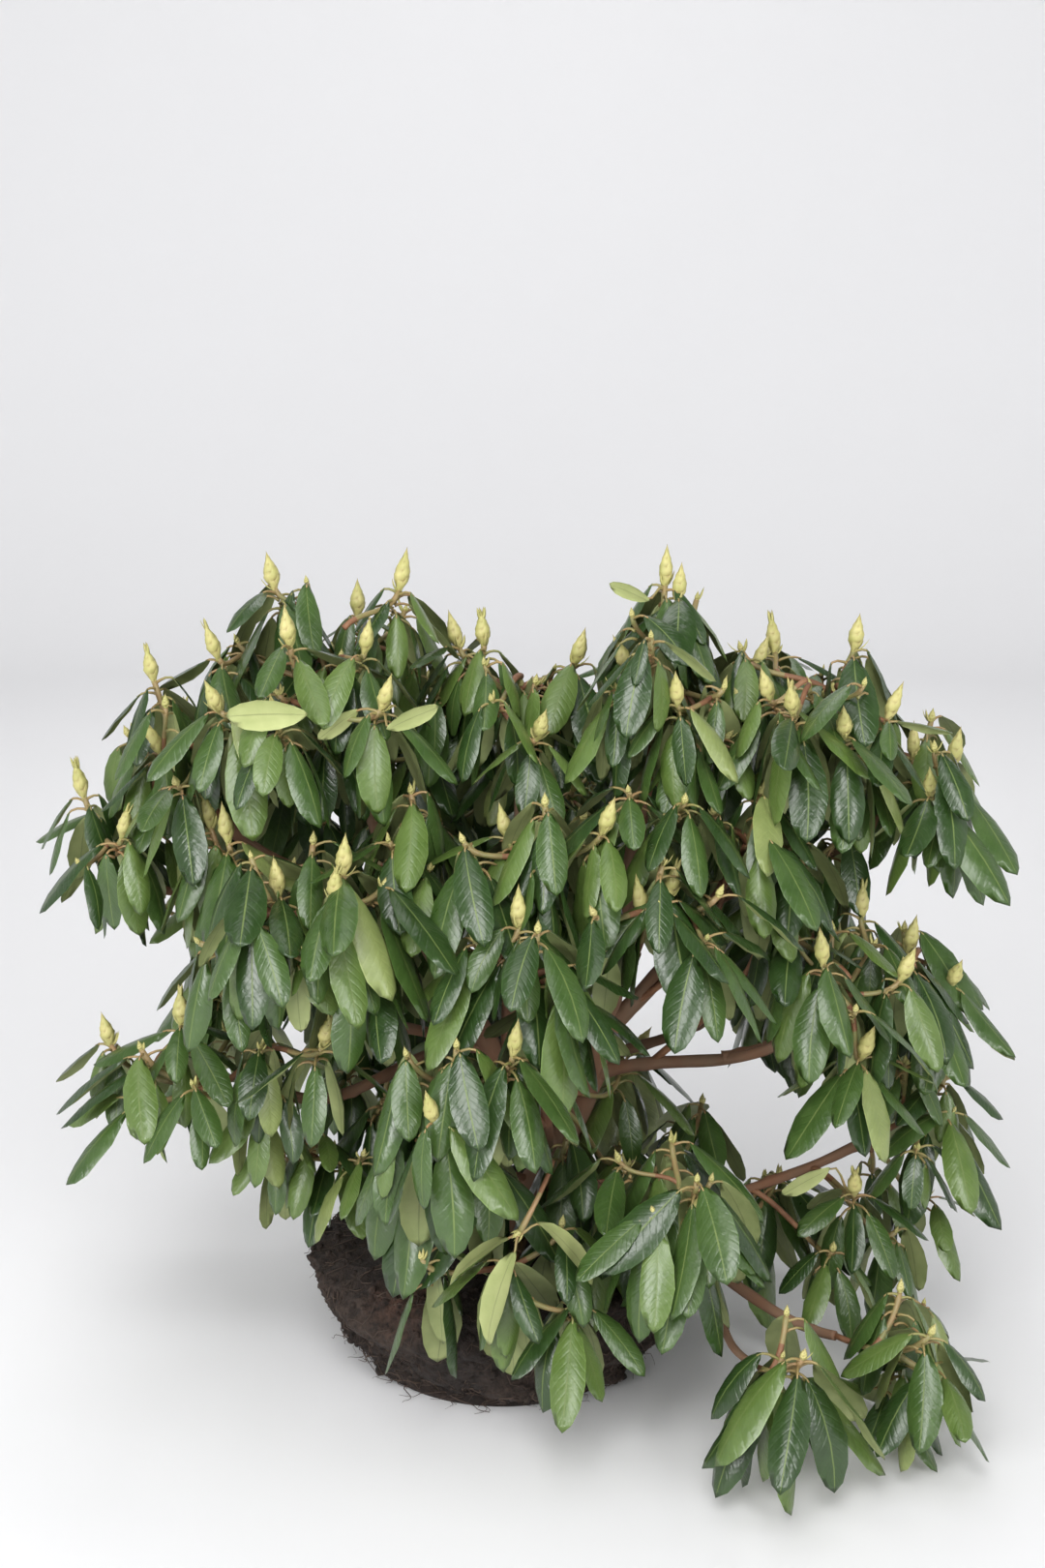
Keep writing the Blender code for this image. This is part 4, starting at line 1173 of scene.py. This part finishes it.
def leaf_slots(count, rings):
    """Material number of every face: the leaf's own green above, the midrib's in the middle, pale below."""
    rng = np.random.default_rng([SEED, 3])
    own = rng.choice(4, size=count, p=DEAL)[:, None, None]
    side = np.arange(len(SECTION))
    pattern = np.where(side >= UPPER - 1, UNDER, np.where(side == 2, MIDRIB, -1))[None, None, :]
    quads, ends = (
        np.where(pattern < 0, own, pattern) + np.zeros((1, rows, 1), int) for rows in (rings - 1, 2)
    )
    # A pale leaf has a pale midrib, and the turned leaves, which come first, have the palest under side: a
    # brighter copy of it, painted light for where they stand in full light
    quads[(own.ravel() == PALE)[:, None, None] & (quads == MIDRIB)] = PALE
    for faces in (quads, ends):
        turned = faces[: len(TURNED_LEAVES)]
        turned[turned == UNDER] = UNDER_LIT
    return quads.reshape(count, -1), ends.reshape(count, -1)


def leaf_piece(name, leaf, slots):
    """One piece of many leaves."""
    count, sides, rings = len(leaf.length), len(SECTION), len(BLADE_SHARES) - 2
    under = (np.arange(sides) >= UPPER).astype(float)
    grid = blade_points(leaf, BLADE_SHARES, SECTION, under)
    middle = blade_frame(leaf, BLADE_SHARES)[0]
    points = np.concatenate([middle[:, :1], grid[:, 1:-1].reshape(count, -1, 3), middle[:, -1:]], axis=1)
    quads, tris = tube_faces(count, rings, sides)
    # Both sides of the blade are split along the same diagonals, so that they can't cross
    below = np.arange(len(quads)) % sides >= UPPER - 1
    quads[below] = np.roll(quads[below], -1, axis=1)
    flat = tube_map(SECTION / 2 + 0.5, BLADE_SHARES[1:-1, None], [0.5, 0], [0.5, 1], count)
    numbers = (part.ravel() for part in slots)
    made = make_piece(name, points.reshape(-1, 3), quads, tris, LEAF_MATERIALS, *numbers, flat)
    # The edge of the blade is a crease, so that the upper side's shading doesn't run round it
    ends = np.empty(2 * len(made.data.edges), np.int32)
    made.data.edges.foreach_get("vertices", ends)
    place = (ends.reshape(-1, 2) % (2 + rings * sides) - 1) % sides
    rim = np.isin(place, (0, UPPER - 1)).all(axis=1) & (place[:, 0] == place[:, 1])
    made.data.edges.foreach_set("use_edge_sharp", rim)
    return made


SLOTS = leaf_slots(len(OWNERS), len(BLADE_SHARES) - 2)
leaf_region = np.array([REGIONS.index(region_of(ALL_SHOOTS[owner].mass)) for owner in OWNERS])
for number, region in enumerate(REGIONS):
    chosen = leaf_region == number
    own = Leaf(*(column[chosen] for column in LEAVES))
    piece = leaf_piece(f"leaves_{region}", own, [part[chosen] for part in SLOTS])
    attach(piece, "root")
    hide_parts(*(mass.name for mass in MASSES if region_of(mass) == region))

# %% [markdown]
# ## Stalks and shoots
#
# A leaf hangs from a stalk as thick as a match, which leaves the shoot upwards and bends over. Young wood
# is yellowish green and turns a warm brown where it is older, so a shoot has two colours by its length.
# Both are tubes, and all of one kind are made in a single call.

# %% Make the stalks and shoots
STALK_SIDES = 5
SHOOT_SIDES = 8
SHOOT_STEPS = 11
STALK_RADII = [0.0021, 0.0016, 0.0014, 0.0013, 0.0008]
FINE_END, SHOOT_END = 0.0022, 0.0027
STALK_PAINT = plain_paint("stalk", (0.215, 0.245, 0.075), (0.380, 0.205, 0.105), 0.46, 38)
SHOOT_PAINTS = [
    plain_paint("old_shoot", (0.170, 0.070, 0.034), (0.270, 0.135, 0.066), 0.60, 90, 0.0006),
    plain_paint("young_shoot", (0.185, 0.215, 0.070), (0.330, 0.190, 0.095), 0.48, 50),
]


def stalk_piece():
    """Every leaf's stalk: a curve from the shoot's middle, up and out, then over into the blade's slope."""
    onward = level_way(LEAVES.heading)
    slope = LEAVES.first[:, None]
    arrive = onward * np.cos(slope) - UP * np.sin(slope)
    reach = 0.45 * np.linalg.norm(LEAVES.root - STEMS, axis=1)[:, None]
    end = LEAVES.root + 0.006 * arrive
    corners = np.stack([STEMS, STEMS + reach * unit(onward + 0.7 * UP), end - reach * arrive, end], axis=1)
    return tubes(bezier(corners, len(STALK_RADII)), np.tile(STALK_RADII, (len(corners), 1)), STALK_SIDES)


def shoot_piece():
    """Every shoot: thick at its fork, thinner along it, and swollen again where its leaves and bud sit."""
    corners = np.array([shoot.corners for shoot in ALL_SHOOTS])
    start = np.array([0.82 * shoot.radius for shoot in ALL_SHOOTS])[:, None]
    t = np.linspace(0, 1, SHOOT_STEPS)
    tip = np.where(np.array([shoot.kind == "fine" for shoot in ALL_SHOOTS]), FINE_END, SHOOT_END)[:, None]
    radii = start + (tip - start) * t**0.7 + 0.0006 * np.exp(-(((t - 0.9) / 0.12) ** 2))
    return tubes(bezier(corners, SHOOT_STEPS), radii, SHOOT_SIDES)


def shoot_slots(count):
    """Old wood for the first part of a shoot and all of a bare limb, young wood after it."""
    ring = np.arange(SHOOT_STEPS - 1)[None, :, None]
    turned = np.random.default_rng([SEED, 5]).integers(2, 6, size=count)[:, None, None]
    turned[[shoot.kind == "limb" for shoot in ALL_SHOOTS]] = SHOOT_STEPS
    quads = (ring >= turned) + np.zeros((1, 1, SHOOT_SIDES), int)
    ends = np.tile([0] * SHOOT_SIDES + [1] * SHOOT_SIDES, count)
    return quads.ravel(), ends


stalks = make_piece("leaf_stalks", *stalk_piece(), [STALK_PAINT])
shoots = make_piece("shoots", *shoot_piece(), SHOOT_PAINTS, *shoot_slots(len(ALL_SHOOTS)))
for piece in (stalks, shoots):
    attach(piece, "root")

# %% [markdown]
# ## Buds
#
# Over most rings of leaves stands a fat flower bud, pale yellow-green and pointed, made of scales that
# overlap like roof tiles. A turned body with a spiral of small steps gives those scales with few faces.
# Narrow bracts stand round some buds like prongs. Shoots without a flower bud end in a small leaf bud.

# %% Make the buds and bracts
BUD_SIDES = 12
BUD_STEPS = np.array([0.0, 0.06, 0.15, 0.26, 0.37, 0.48, 0.58, 0.67, 0.76, 0.84, 0.92, 1.0])
BUD_BELLY = 0.34
SCALE_STEP = 0.25
# Chance of a flower bud behind this depth, on rings that the photo doesn't show; in front there is none
BACK_DEPTH, BACK_CHANCE = 0.06, 0.55
# Shortest and longest flower buds and leaf buds, and the least and greatest radius of a flower bud
FLOWER_LENGTH, LEAF_BUD_LENGTH, FLOWER_GIRTH = (0.040, 0.050), (0.010, 0.018), (0.0076, 0.0090)
BRACT_STEPS = [(0.8, 0.25), (1.0, 0.65), (1.2, 0.95)]
OPEN_SHARE = 0.35


def bud_paint(name, low, high, tip):
    """Yellow-green to straw scales, brown at the points, with painted shade in the creases between them."""
    paint = Paint(name, 0.48)
    around, along = paint.flat_map()
    drift = paint.noise(70, 3)
    # Painted shade: darker, up to the brown of the points, in the crease where each scale tucks under the
    # next
    shaded_crease = around**4
    far = (along - 0.80) * 4.0 + (drift - 0.5)
    colour = paint.blend(shaded_crease * 0.75, paint.cloudy(drift, low, high), tip)
    paint.set("Base Color", paint.blend(far * 0.75, colour, tip))
    paint.relief(paint.noise(260, 3, (1, 1, 0.25)) - shaded_crease * 1.5, 0.0011, 0.8)
    return paint.material


BUD_PAINT = bud_paint("bud_scale", (0.360, 0.360, 0.108), (0.560, 0.500, 0.205), (0.250, 0.160, 0.060))


def bud_points(bases, axes, lengths, girths):
    """Turned bodies: (s / 0.34) ^ 0.6 up to the belly, then cos(90 degrees * x) ^ 1.45, stepped in scales."""
    s = BUD_STEPS
    after = np.clip((s - BUD_BELLY) / (1 - BUD_BELLY), 0, 1)
    belly = np.where(s < BUD_BELLY, (s / BUD_BELLY) ** 0.6, np.cos(math.pi / 2 * after) ** 1.45)
    turns = np.arange(BUD_SIDES) / BUD_SIDES
    spiral = (s[:, None] * 5 + turns * 2) % 1
    body = np.maximum(belly, 0.36 * (s < 0.05))[:, None] * (1.10 - SCALE_STEP * spiral)
    paths = bases[:, None] + axes[:, None] * (lengths[:, None] * s)[..., None]
    shape = tubes(paths, girths[:, None, None] * body, BUD_SIDES, pointed=True)
    return shape, tube_map(spiral[:-1], s[:-1, None], [0, 0], [0, 1], len(bases))


def bract_points(turn, bases, axes, lengths, spread):
    """Flat pointed prongs: they leave their foot sideways and curve up."""
    beside = unit(np.cross(axes, level_way(turn, 0.3)))
    size, spread = lengths[:, None], spread[:, None]
    later = [bases + size * (out * spread * beside + up * axes) for out, up in BRACT_STEPS]
    shape = np.array([0.8, 1.0, 0.9, 0.6, 0.0])[:, None] * np.array([0.0020, 0.0007, 0.0020, 0.0007])
    radii = np.tile(shape, (len(bases), 1, 1))
    shape = tubes(bezier(np.stack([bases, *later], axis=1), 5), radii, 4, pointed=True)
    along = np.array([0.4, 0.5, 0.7, 0.8])[:, None] + np.zeros(4)
    return shape, tube_map(0, along, [0, 0.3], [0, 0.95], len(bases))


def bud_piece():
    """Flower buds where the photo shows them and by chance behind, leaf buds on the rest, bracts at some."""
    rng = np.random.default_rng([SEED, 9])
    count = len(TIPS)
    lean = unit(np.array([unit(shoot.corners[-1] - shoot.corners[-2]) for shoot in ALL_SHOOTS]) + 0.5 * UP)
    drawn = rng.uniform(size=count) < np.where(TIPS[:, 1] > BACK_DEPTH, BACK_CHANCE, 0.0)
    flower = [luck if shoot.flower is None else shoot.flower for shoot, luck in zip(ALL_SHOOTS, drawn)]
    flower = np.array(flower)
    length = np.where(flower, rng.uniform(*FLOWER_LENGTH, count), rng.uniform(*LEAF_BUD_LENGTH, count))
    length = np.minimum(length, (CAD_HIGH[2] + BOX_SPARE - TIPS[:, 2]) / np.maximum(lean[:, 2], 0.2))
    girth = np.where(flower, rng.uniform(*FLOWER_GIRTH, count), 0.24 * length)
    feet = TIPS - 0.002 * lean
    buds = bud_points(feet, lean, length, girth)
    # Narrow bracts at the foot of a bud, and prongs that stand open at the point of some flower buds
    at = np.repeat(np.arange(count), rng.poisson(np.where(flower, 2.0, 0.8)))
    size = rng.uniform(0.6, 1.0, len(at)) * np.where(flower[at], 0.020, 0.018)
    turn, spread = rng.uniform(0, 6.3, len(at)), rng.uniform(0.3, 0.7, len(at))
    bracts = bract_points(turn, feet[at], lean[at], size, spread)
    at = np.repeat(np.flatnonzero(flower & (rng.uniform(size=count) < OPEN_SHARE)), 4)
    base = TIPS[at] + lean[at] * 0.62 * length[at, None]
    turn, spread = rng.uniform(0, 6.3, len(at)), rng.uniform(0.08, 0.30, len(at))
    prongs = bract_points(turn, base, lean[at], 0.40 * length[at], spread)
    print(int(flower.sum()), "flower buds,", int((~flower).sum()), "leaf buds")
    return joined(buds[0], bracts[0], prongs[0]), np.vstack([buds[1], bracts[1], prongs[1]])


bud_shape, bud_map = bud_piece()
buds = make_piece("buds", *bud_shape, [BUD_PAINT], flat_map=bud_map)
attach(buds, "root")

# %% [markdown]
# ## Bark
#
# The limbs are the same curves as in the CAD model, cut into short rings so that the surface can carry the
# bark: long thin ridges where it shreds, soft swellings, knots where shoots once were, and a lobed flare at
# the foot. The relief is noise that is stretched along the limb, added to the radius.

# %% Make the trunk and boughs
LIMB_SIDES = 20
RING_EVERY = 0.0034
FLARE_RADIUS = 0.046
FLARE_LOBES = 5
LIMB_STOUT = 1.12
KNOT_EVERY = 0.045
COLLAR = 0.010


def bark_relief(number, length, along, turns, radius):
    """Metres to add to the radius: shreds, swellings and knots."""
    rng = np.random.default_rng([SEED, 21, number])
    metres = along[:, None] * length
    parts = np.broadcast_arrays(np.cos(turns) * 2.6, np.sin(turns) * 2.6, metres * 46 + 17 * number)
    ring = np.stack(parts, axis=-1)
    shreds = value_noise(ring * (1, 1, 0.5), 1) + 0.5 * value_noise(ring * (2.2, 2.2, 1.1), 2)
    relief = 0.10 * np.abs(shreds) + 0.10 * value_noise(ring * (0.4, 0.4, 0.55), 3)
    for _ in range(int(length / KNOT_EVERY)):
        place, turn = rng.uniform(0.03, 0.97) * length, rng.uniform(0, FULL_TURN)
        size = rng.uniform(0.6, 1.3)
        away = ((metres - place) / (size * radius.mean())) ** 2 + (2 * np.sin((turns - turn) / 2) / 0.8) ** 2
        relief = relief + 0.30 * size * np.exp(-away)
    return relief * radius[:, None]


def limb_points(number, name):
    """One limb's tube with its bark."""
    bough = next((b for b in BOUGHS if b.mass == name), None)
    coarse = COARSE[name]
    length = np.linalg.norm(np.diff(coarse, axis=0), axis=1).sum()
    count = int(length / RING_EVERY)
    path = trunk_path(count) if bough is None else limb_path(bough, COARSE, count)
    along, turns = np.linspace(0, 1, count), FULL_TURN * np.arange(LIMB_SIDES) / LIMB_SIDES
    radius = limb_radii(name, count) * LIMB_STOUT
    radii = radius[:, None] + bark_relief(number, length, along, turns, radius)
    if bough is None:
        flare = (FLARE_RADIUS - radius[0]) * np.clip(1 - 2.6 * along, 0, 1)[:, None] ** 1.6
        radii = radii + flare * (1 + 0.14 * np.cos(FLARE_LOBES * turns + 0.6) + 0.1 * np.cos(3 * turns))
        path = np.vstack([path[:1] - 0.006 * UP, path[1:]])
    else:
        # A collar where the limb leaves its parent
        radii = radii * (1 + 0.45 * np.exp(-along * length / COLLAR))[:, None]
    return tubes(path[None], radii[None], LIMB_SIDES)


def bark_paint():
    """Bark in warm patches. The streaks would follow a flat map along the limb; this piece carries none, so
    they come out as one even shade, and the ridges are the mesh's own."""
    paint = Paint("bark", 0.85)
    around, along = paint.flat_map()
    turn = around * FULL_TURN
    ring = {0: turn.sine() * 0.5, 1: (turn + math.pi / 2).sine() * 0.5, 2: along * 9}
    place = paint.node("ShaderNodeCombineXYZ", {}, ring)
    sockets = {"Vector": place, "Scale": 6.0, "Detail": 5.0, "Roughness": 0.6}
    streaks = Value(paint, paint.node("ShaderNodeTexNoise", {}, sockets, "Fac"))
    patches = paint.noise(24, 3)
    warm = paint.blend(patches * 2 - 0.5, (0.270, 0.115, 0.056), (0.290, 0.195, 0.125))
    paint.set("Base Color", paint.blend(streaks * 2.4 - 0.62, (0.050, 0.026, 0.016), warm))
    paint.relief(streaks, 0.0016, 0.9)
    return paint.material


limb_names = ["trunk"] + [bough.mass for bough in BOUGHS]
limbs = joined(*(limb_points(number, name) for number, name in enumerate(limb_names)))
stems = make_piece("trunk_and_boughs", *limbs, [bark_paint()])
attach(stems, "root")
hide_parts("trunk", *(f"{bough.mass}_bough" for bough in BOUGHS))

# %% [markdown]
# ## The root ball
#
# The shrub was dug or knocked out of its container, and its fine roots hold the peat in a dark, ragged
# ball. The ball is turned from the same profile as the CAD solid, with lumps in three sizes and pits added
# by noise. Fine roots wander over it and stick out near its foot, and crumbs of peat cling to it.

# %% Shape of the root ball
BALL_FOOT_RADIUS = 0.152
BALL_RIM_RADIUS = 0.214
BALL_RIM_HEIGHT = 0.122
BALL_SEAT_RADIUS = 0.062
BALL_ROUGHNESS = 0.006
BALL_TURNS = 330
BALL_STEPS = 200
# Depth of the lumps and of the pits, and rise of the lumps, in metres
LUMPS, PITS, LIFTS = 0.0062, 0.007, 0.0034
# Numbers of the profile's widest ring and of its last one
RIM_RING, LAST_RING = 5, 9
RUSTY_SPOT = (-0.100, -0.160, 0.140)
RUSTY_REACH = 0.060


def ball_profile():
    """The CAD solid's rings from foot to seat: radius, height and share of roughness."""
    bulge = BALL_RIM_RADIUS - BALL_FOOT_RADIUS
    side = [
        (BALL_FOOT_RADIUS + bulge * math.sin(share * math.pi / 2) ** 0.9, BALL_RIM_HEIGHT * share, 1.0)
        for share in (0.12, 0.30, 0.52, 0.76, 1.0)
    ]
    inward, rise = BALL_RIM_RADIUS - BALL_SEAT_RADIUS, BALL_SEAT_HEIGHT - BALL_RIM_HEIGHT
    top = [
        (BALL_RIM_RADIUS - inward * share, BALL_RIM_HEIGHT + rise * 0.98 * math.sqrt(share), 1.0)
        for share in (0.10, 0.34, 0.66)
    ]
    return np.array([(BALL_FOOT_RADIUS, 0, 0), *side, *top, (BALL_SEAT_RADIUS, BALL_SEAT_HEIGHT, 0.0)])


PROFILE = ball_profile()
ball_rng = random.Random(f"{SEED} ball")
WAVES = [(ball_rng.randint(2, 7), ball_rng.randint(1, 3), ball_rng.uniform(0, FULL_TURN)) for _ in range(7)]


def ball_surface(turn, ring, out=0.0):
    """Point on the ball at a turn and a ring number from 0 to 9: its profile with waves, lumps and pits."""
    radius, height, rough = (np.interp(ring, np.arange(len(PROFILE)), PROFILE[:, k]) for k in range(3))
    swell = 0.5 * sum(np.sin(a * turn + b * ring + c) for a, b, c in WAVES)
    spot = np.stack([radius * np.cos(turn), radius * np.sin(turn), height], axis=-1)
    lumps = value_noise(spot * 34, 31) + 0.55 * value_noise(spot * 90, 32)
    lumps = lumps + 0.4 * np.abs(value_noise(spot * 210, 33))
    inside = np.minimum(1, ring * 2) * np.minimum(1, (LAST_RING - ring) * 1.2)
    pits = np.minimum(0, value_noise(spot * 130, 35) + 0.25)
    away = radius + rough * BALL_ROUGHNESS * swell + inside * (LUMPS * lumps + PITS * pits - 0.004) + out
    lift = inside * LIFTS * value_noise(spot * 80, 34) * (ring > 0.5) + out * 0.3 * (ring > RIM_RING)
    shift = TRUNK_FOOT[0] * np.clip((ring - RIM_RING) / (LAST_RING - RIM_RING), 0, 1)
    height = np.maximum(height + lift, 0)
    return np.stack([shift + away * np.cos(turn), away * np.sin(turn), height], axis=-1)


def ball_points():
    """The ball as a tube of rings between the middles of its foot and of its seat."""
    turn = FULL_TURN * np.arange(BALL_TURNS) / BALL_TURNS
    ring = np.linspace(0, LAST_RING, BALL_STEPS)[:, None]
    grid = ball_surface(turn[None], ring + 0 * turn[None])
    ends = np.array([[0, 0, 0]]), np.array([[TRUNK_FOOT[0], 0, BALL_SEAT_HEIGHT]])
    return np.concatenate([ends[0], grid.reshape(-1, 3), ends[1]]), *tube_faces(1, BALL_STEPS, BALL_TURNS)


def peat_paint():
    """Damp peat: nearly black crumbs and warmer, drier patches, with a fibrous grain."""
    paint = Paint("peat", 0.95)
    patches = paint.noise(9, 4)
    grain = paint.noise(130, 6, (1, 1, 0.7), 0.72)
    warm = paint.blend(patches * 2.6 - 0.95, (0.038, 0.026, 0.021), (0.098, 0.064, 0.047))
    spot = {0: paint.place(), 1: RUSTY_SPOT}
    away = Value(paint, paint.node("ShaderNodeVectorMath", {"operation": "DISTANCE"}, spot, "Value"))
    warm = paint.blend((RUSTY_REACH - away) * 16 * patches, warm, (0.190, 0.075, 0.040))
    paint.set("Base Color", paint.blend(grain * 2.6 - 0.85, (0.012, 0.008, 0.006), warm))
    paint.relief(grain + paint.noise(48, 4) * 0.8, 0.008, 1.0)
    return paint.material


root_ball = make_piece("root_ball_peat", *ball_points(), [peat_paint()])
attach(root_ball, "root")
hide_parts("root_ball")

# %% Fine roots and crumbs
ROOTS = 520
STRAY_ROOTS = 110
ROOT_STEPS = 10
CRUMBS = 1400
CRUMB_SIDES = 7
CRUMB_PLACES = np.array([-0.9, -0.5, 0.0, 0.5, 0.9])
CRUMB_RADII = np.array([0.35, 0.85, 1.0, 0.85, 0.35])


def root_points():
    """Fine roots: each walks over the ball with a wobble; some lift off it towards their ends."""
    rng = np.random.default_rng([SEED, 41])
    t = np.linspace(0, 1, ROOT_STEPS)
    turn = rng.uniform(0, FULL_TURN, (ROOTS, 1)) + rng.normal(0, 0.16, (ROOTS, 1)) * t
    ring = rng.uniform(0.3, 8.2, (ROOTS, 1)) + rng.normal(0, 1.3, (ROOTS, 1)) * t
    wobble = rng.uniform(0, FULL_TURN, (2, ROOTS, 1))
    turn = turn + 0.030 * np.sin(9 * t + wobble[0])
    ring = ring + 0.24 * np.sin(11 * t + wobble[1])
    lift = 0.0010 + rng.exponential(0.0025, (ROOTS, 1)) * t**2
    # The first of them hang off the lower edge
    ring[:STRAY_ROOTS] = rng.uniform(0.4, 2.6, (STRAY_ROOTS, 1)) - 0.6 * t
    lift[:STRAY_ROOTS] = rng.uniform(0.006, 0.030, (STRAY_ROOTS, 1)) * t**1.3
    ring = np.clip(ring, 0.15, 8.8)
    paths = ball_surface(turn, ring, lift)
    paths[..., 2] = np.maximum(paths[..., 2], 0.0016)
    radii = rng.uniform(0.00035, 0.0009, (ROOTS, 1)) * (1.1 - 0.7 * t)
    return tubes(paths, radii, 4)


def crumb_points():
    """Crumbs of peat: lumpy grains of five rings, pressed a little into the ball."""
    rng = np.random.default_rng([SEED, 43])
    turn, ring = rng.uniform(0, FULL_TURN, CRUMBS), rng.uniform(0.6, 8.4, CRUMBS)
    middle = ball_surface(turn, ring, 0.0)
    size = rng.uniform(0.0012, 0.0055, CRUMBS)
    middle[:, 2] = np.maximum(middle[:, 2], size * 1.1)
    axis = unit(rng.normal(size=(CRUMBS, 3)))
    path = middle[:, None] + axis[:, None] * (size[:, None] * CRUMB_PLACES)[..., None]
    shape = CRUMB_RADII[:, None] * rng.uniform(0.6, 1.15, (CRUMBS, 1, CRUMB_SIDES))
    return tubes(path, size[:, None, None] * shape, CRUMB_SIDES)


fibre = plain_paint("fine_root", (0.040, 0.026, 0.020), (0.100, 0.066, 0.048), 0.85, 60)
roots = make_piece("fine_roots", *root_points(), [fibre])
crumbs = make_piece("peat_crumbs", *crumb_points(), [bpy.data.materials["peat"]])
for piece in (roots, crumbs):
    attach(piece, "root")

# %% [markdown]
# ## Floor and light
#
# The photo is a plain studio shot: a white floor that runs up into a white wall, and large soft lamps above
# and to the front. A wide round floor with a turned-up rim makes both, and has the same shape on every
# side. The lamps are wide, so shadows stay faint and the leaves get broad pale highlights. Three more of
# them face the wall.

# %% Stage and lamps
WALL_DISTANCE = 6.5
WALL_BEND = 1.2
WALL_HEIGHT = 6.0
WALL_SIDES = 64
# Name, place, spot that it points at, size in metres and power in watts
LAMPS = [
    ("lamp_above", (-0.3, -0.9, 3.0), (0, -0.1, 0.3), 1.6, 14),
    ("lamp_front", (-0.2, -2.7, 2.6), (0, -0.6, 0.0), 1.5, 66),
    ("lamp_left", (-1.8, -2.9, 1.35), (0, 0, 0.25), 1.2, 56),
    ("lamp_right", (1.9, -2.8, 1.25), (0, 0, 0.25), 1.2, 45),
    ("lamp_floor", (0, 1.8, 3.4), (0, 2.4, 0), 2.0, 34),
]
# One more for each side of the round wall but the near one: the way it faces, along X and Y, and its watts
WALL_LAMPS = [(0, 1, 80), (-1, 0, 60), (1, 0, 60)]


def backdrop():
    """A round floor whose rim turns up through a quarter circle into a wall, turned from one profile."""
    bend = np.linspace(0, math.pi / 2, 9)
    curve = WALL_DISTANCE - WALL_BEND + WALL_BEND * np.sin(bend)
    reach = np.concatenate([[1.5, 3.5], curve, [WALL_DISTANCE]])[:, None, None]
    rise = np.concatenate([[0, 0], WALL_BEND - WALL_BEND * np.cos(bend), [WALL_HEIGHT]])[:, None, None]
    rings = reach * level_way(FULL_TURN * np.arange(WALL_SIDES) / WALL_SIDES) + rise * UP
    points = np.vstack([np.zeros((1, 3)), rings.reshape(-1, 3)])
    # A tube's faces turned over, so that they look inwards, and without its far end, so that it has no roof
    quads, ends = tube_faces(1, len(reach), WALL_SIDES)
    quads, middle = quads[:, ::-1], ends[:WALL_SIDES, ::-1]
    paint = Paint("studio_white", 0.9)
    paint.set("Base Color", (0.84, 0.84, 0.85, 1))
    return make_piece("studio_floor", points, quads, middle, [paint.material])


def add_lamp(name, place, aim, size, watts):
    """A square soft lamp that points at a spot."""
    data = bpy.data.lights.new(name, "AREA")
    data.size, data.energy = size, watts
    made = bpy.data.objects.new(name, data)
    made.location = place
    way = Vector([a - p for a, p in zip(aim, place)])
    made.rotation_euler = way.to_track_quat("-Z", "Y").to_euler()
    bpy.context.scene.collection.objects.link(made)


backdrop()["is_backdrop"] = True
for row in LAMPS:
    add_lamp(*row)
for number, (x, y, watts) in enumerate(WALL_LAMPS):
    place, aim = (2.6 * x, 2.6 * y, 4.2), (WALL_DISTANCE * x, WALL_DISTANCE * y, 1.4)
    add_lamp(f"lamp_wall_{number}", place, aim, 2.4, watts)
world = bpy.data.worlds.new("studio_air")
world.use_nodes = True
air = world.node_tree.nodes["Background"].inputs
air["Color"].default_value = (1.0, 0.995, 1.0, 1)
air["Strength"].default_value = 0.07
bpy.context.scene.world = world
bpy.context.scene.view_settings.view_transform = "Standard"
print("stage and lamps set")
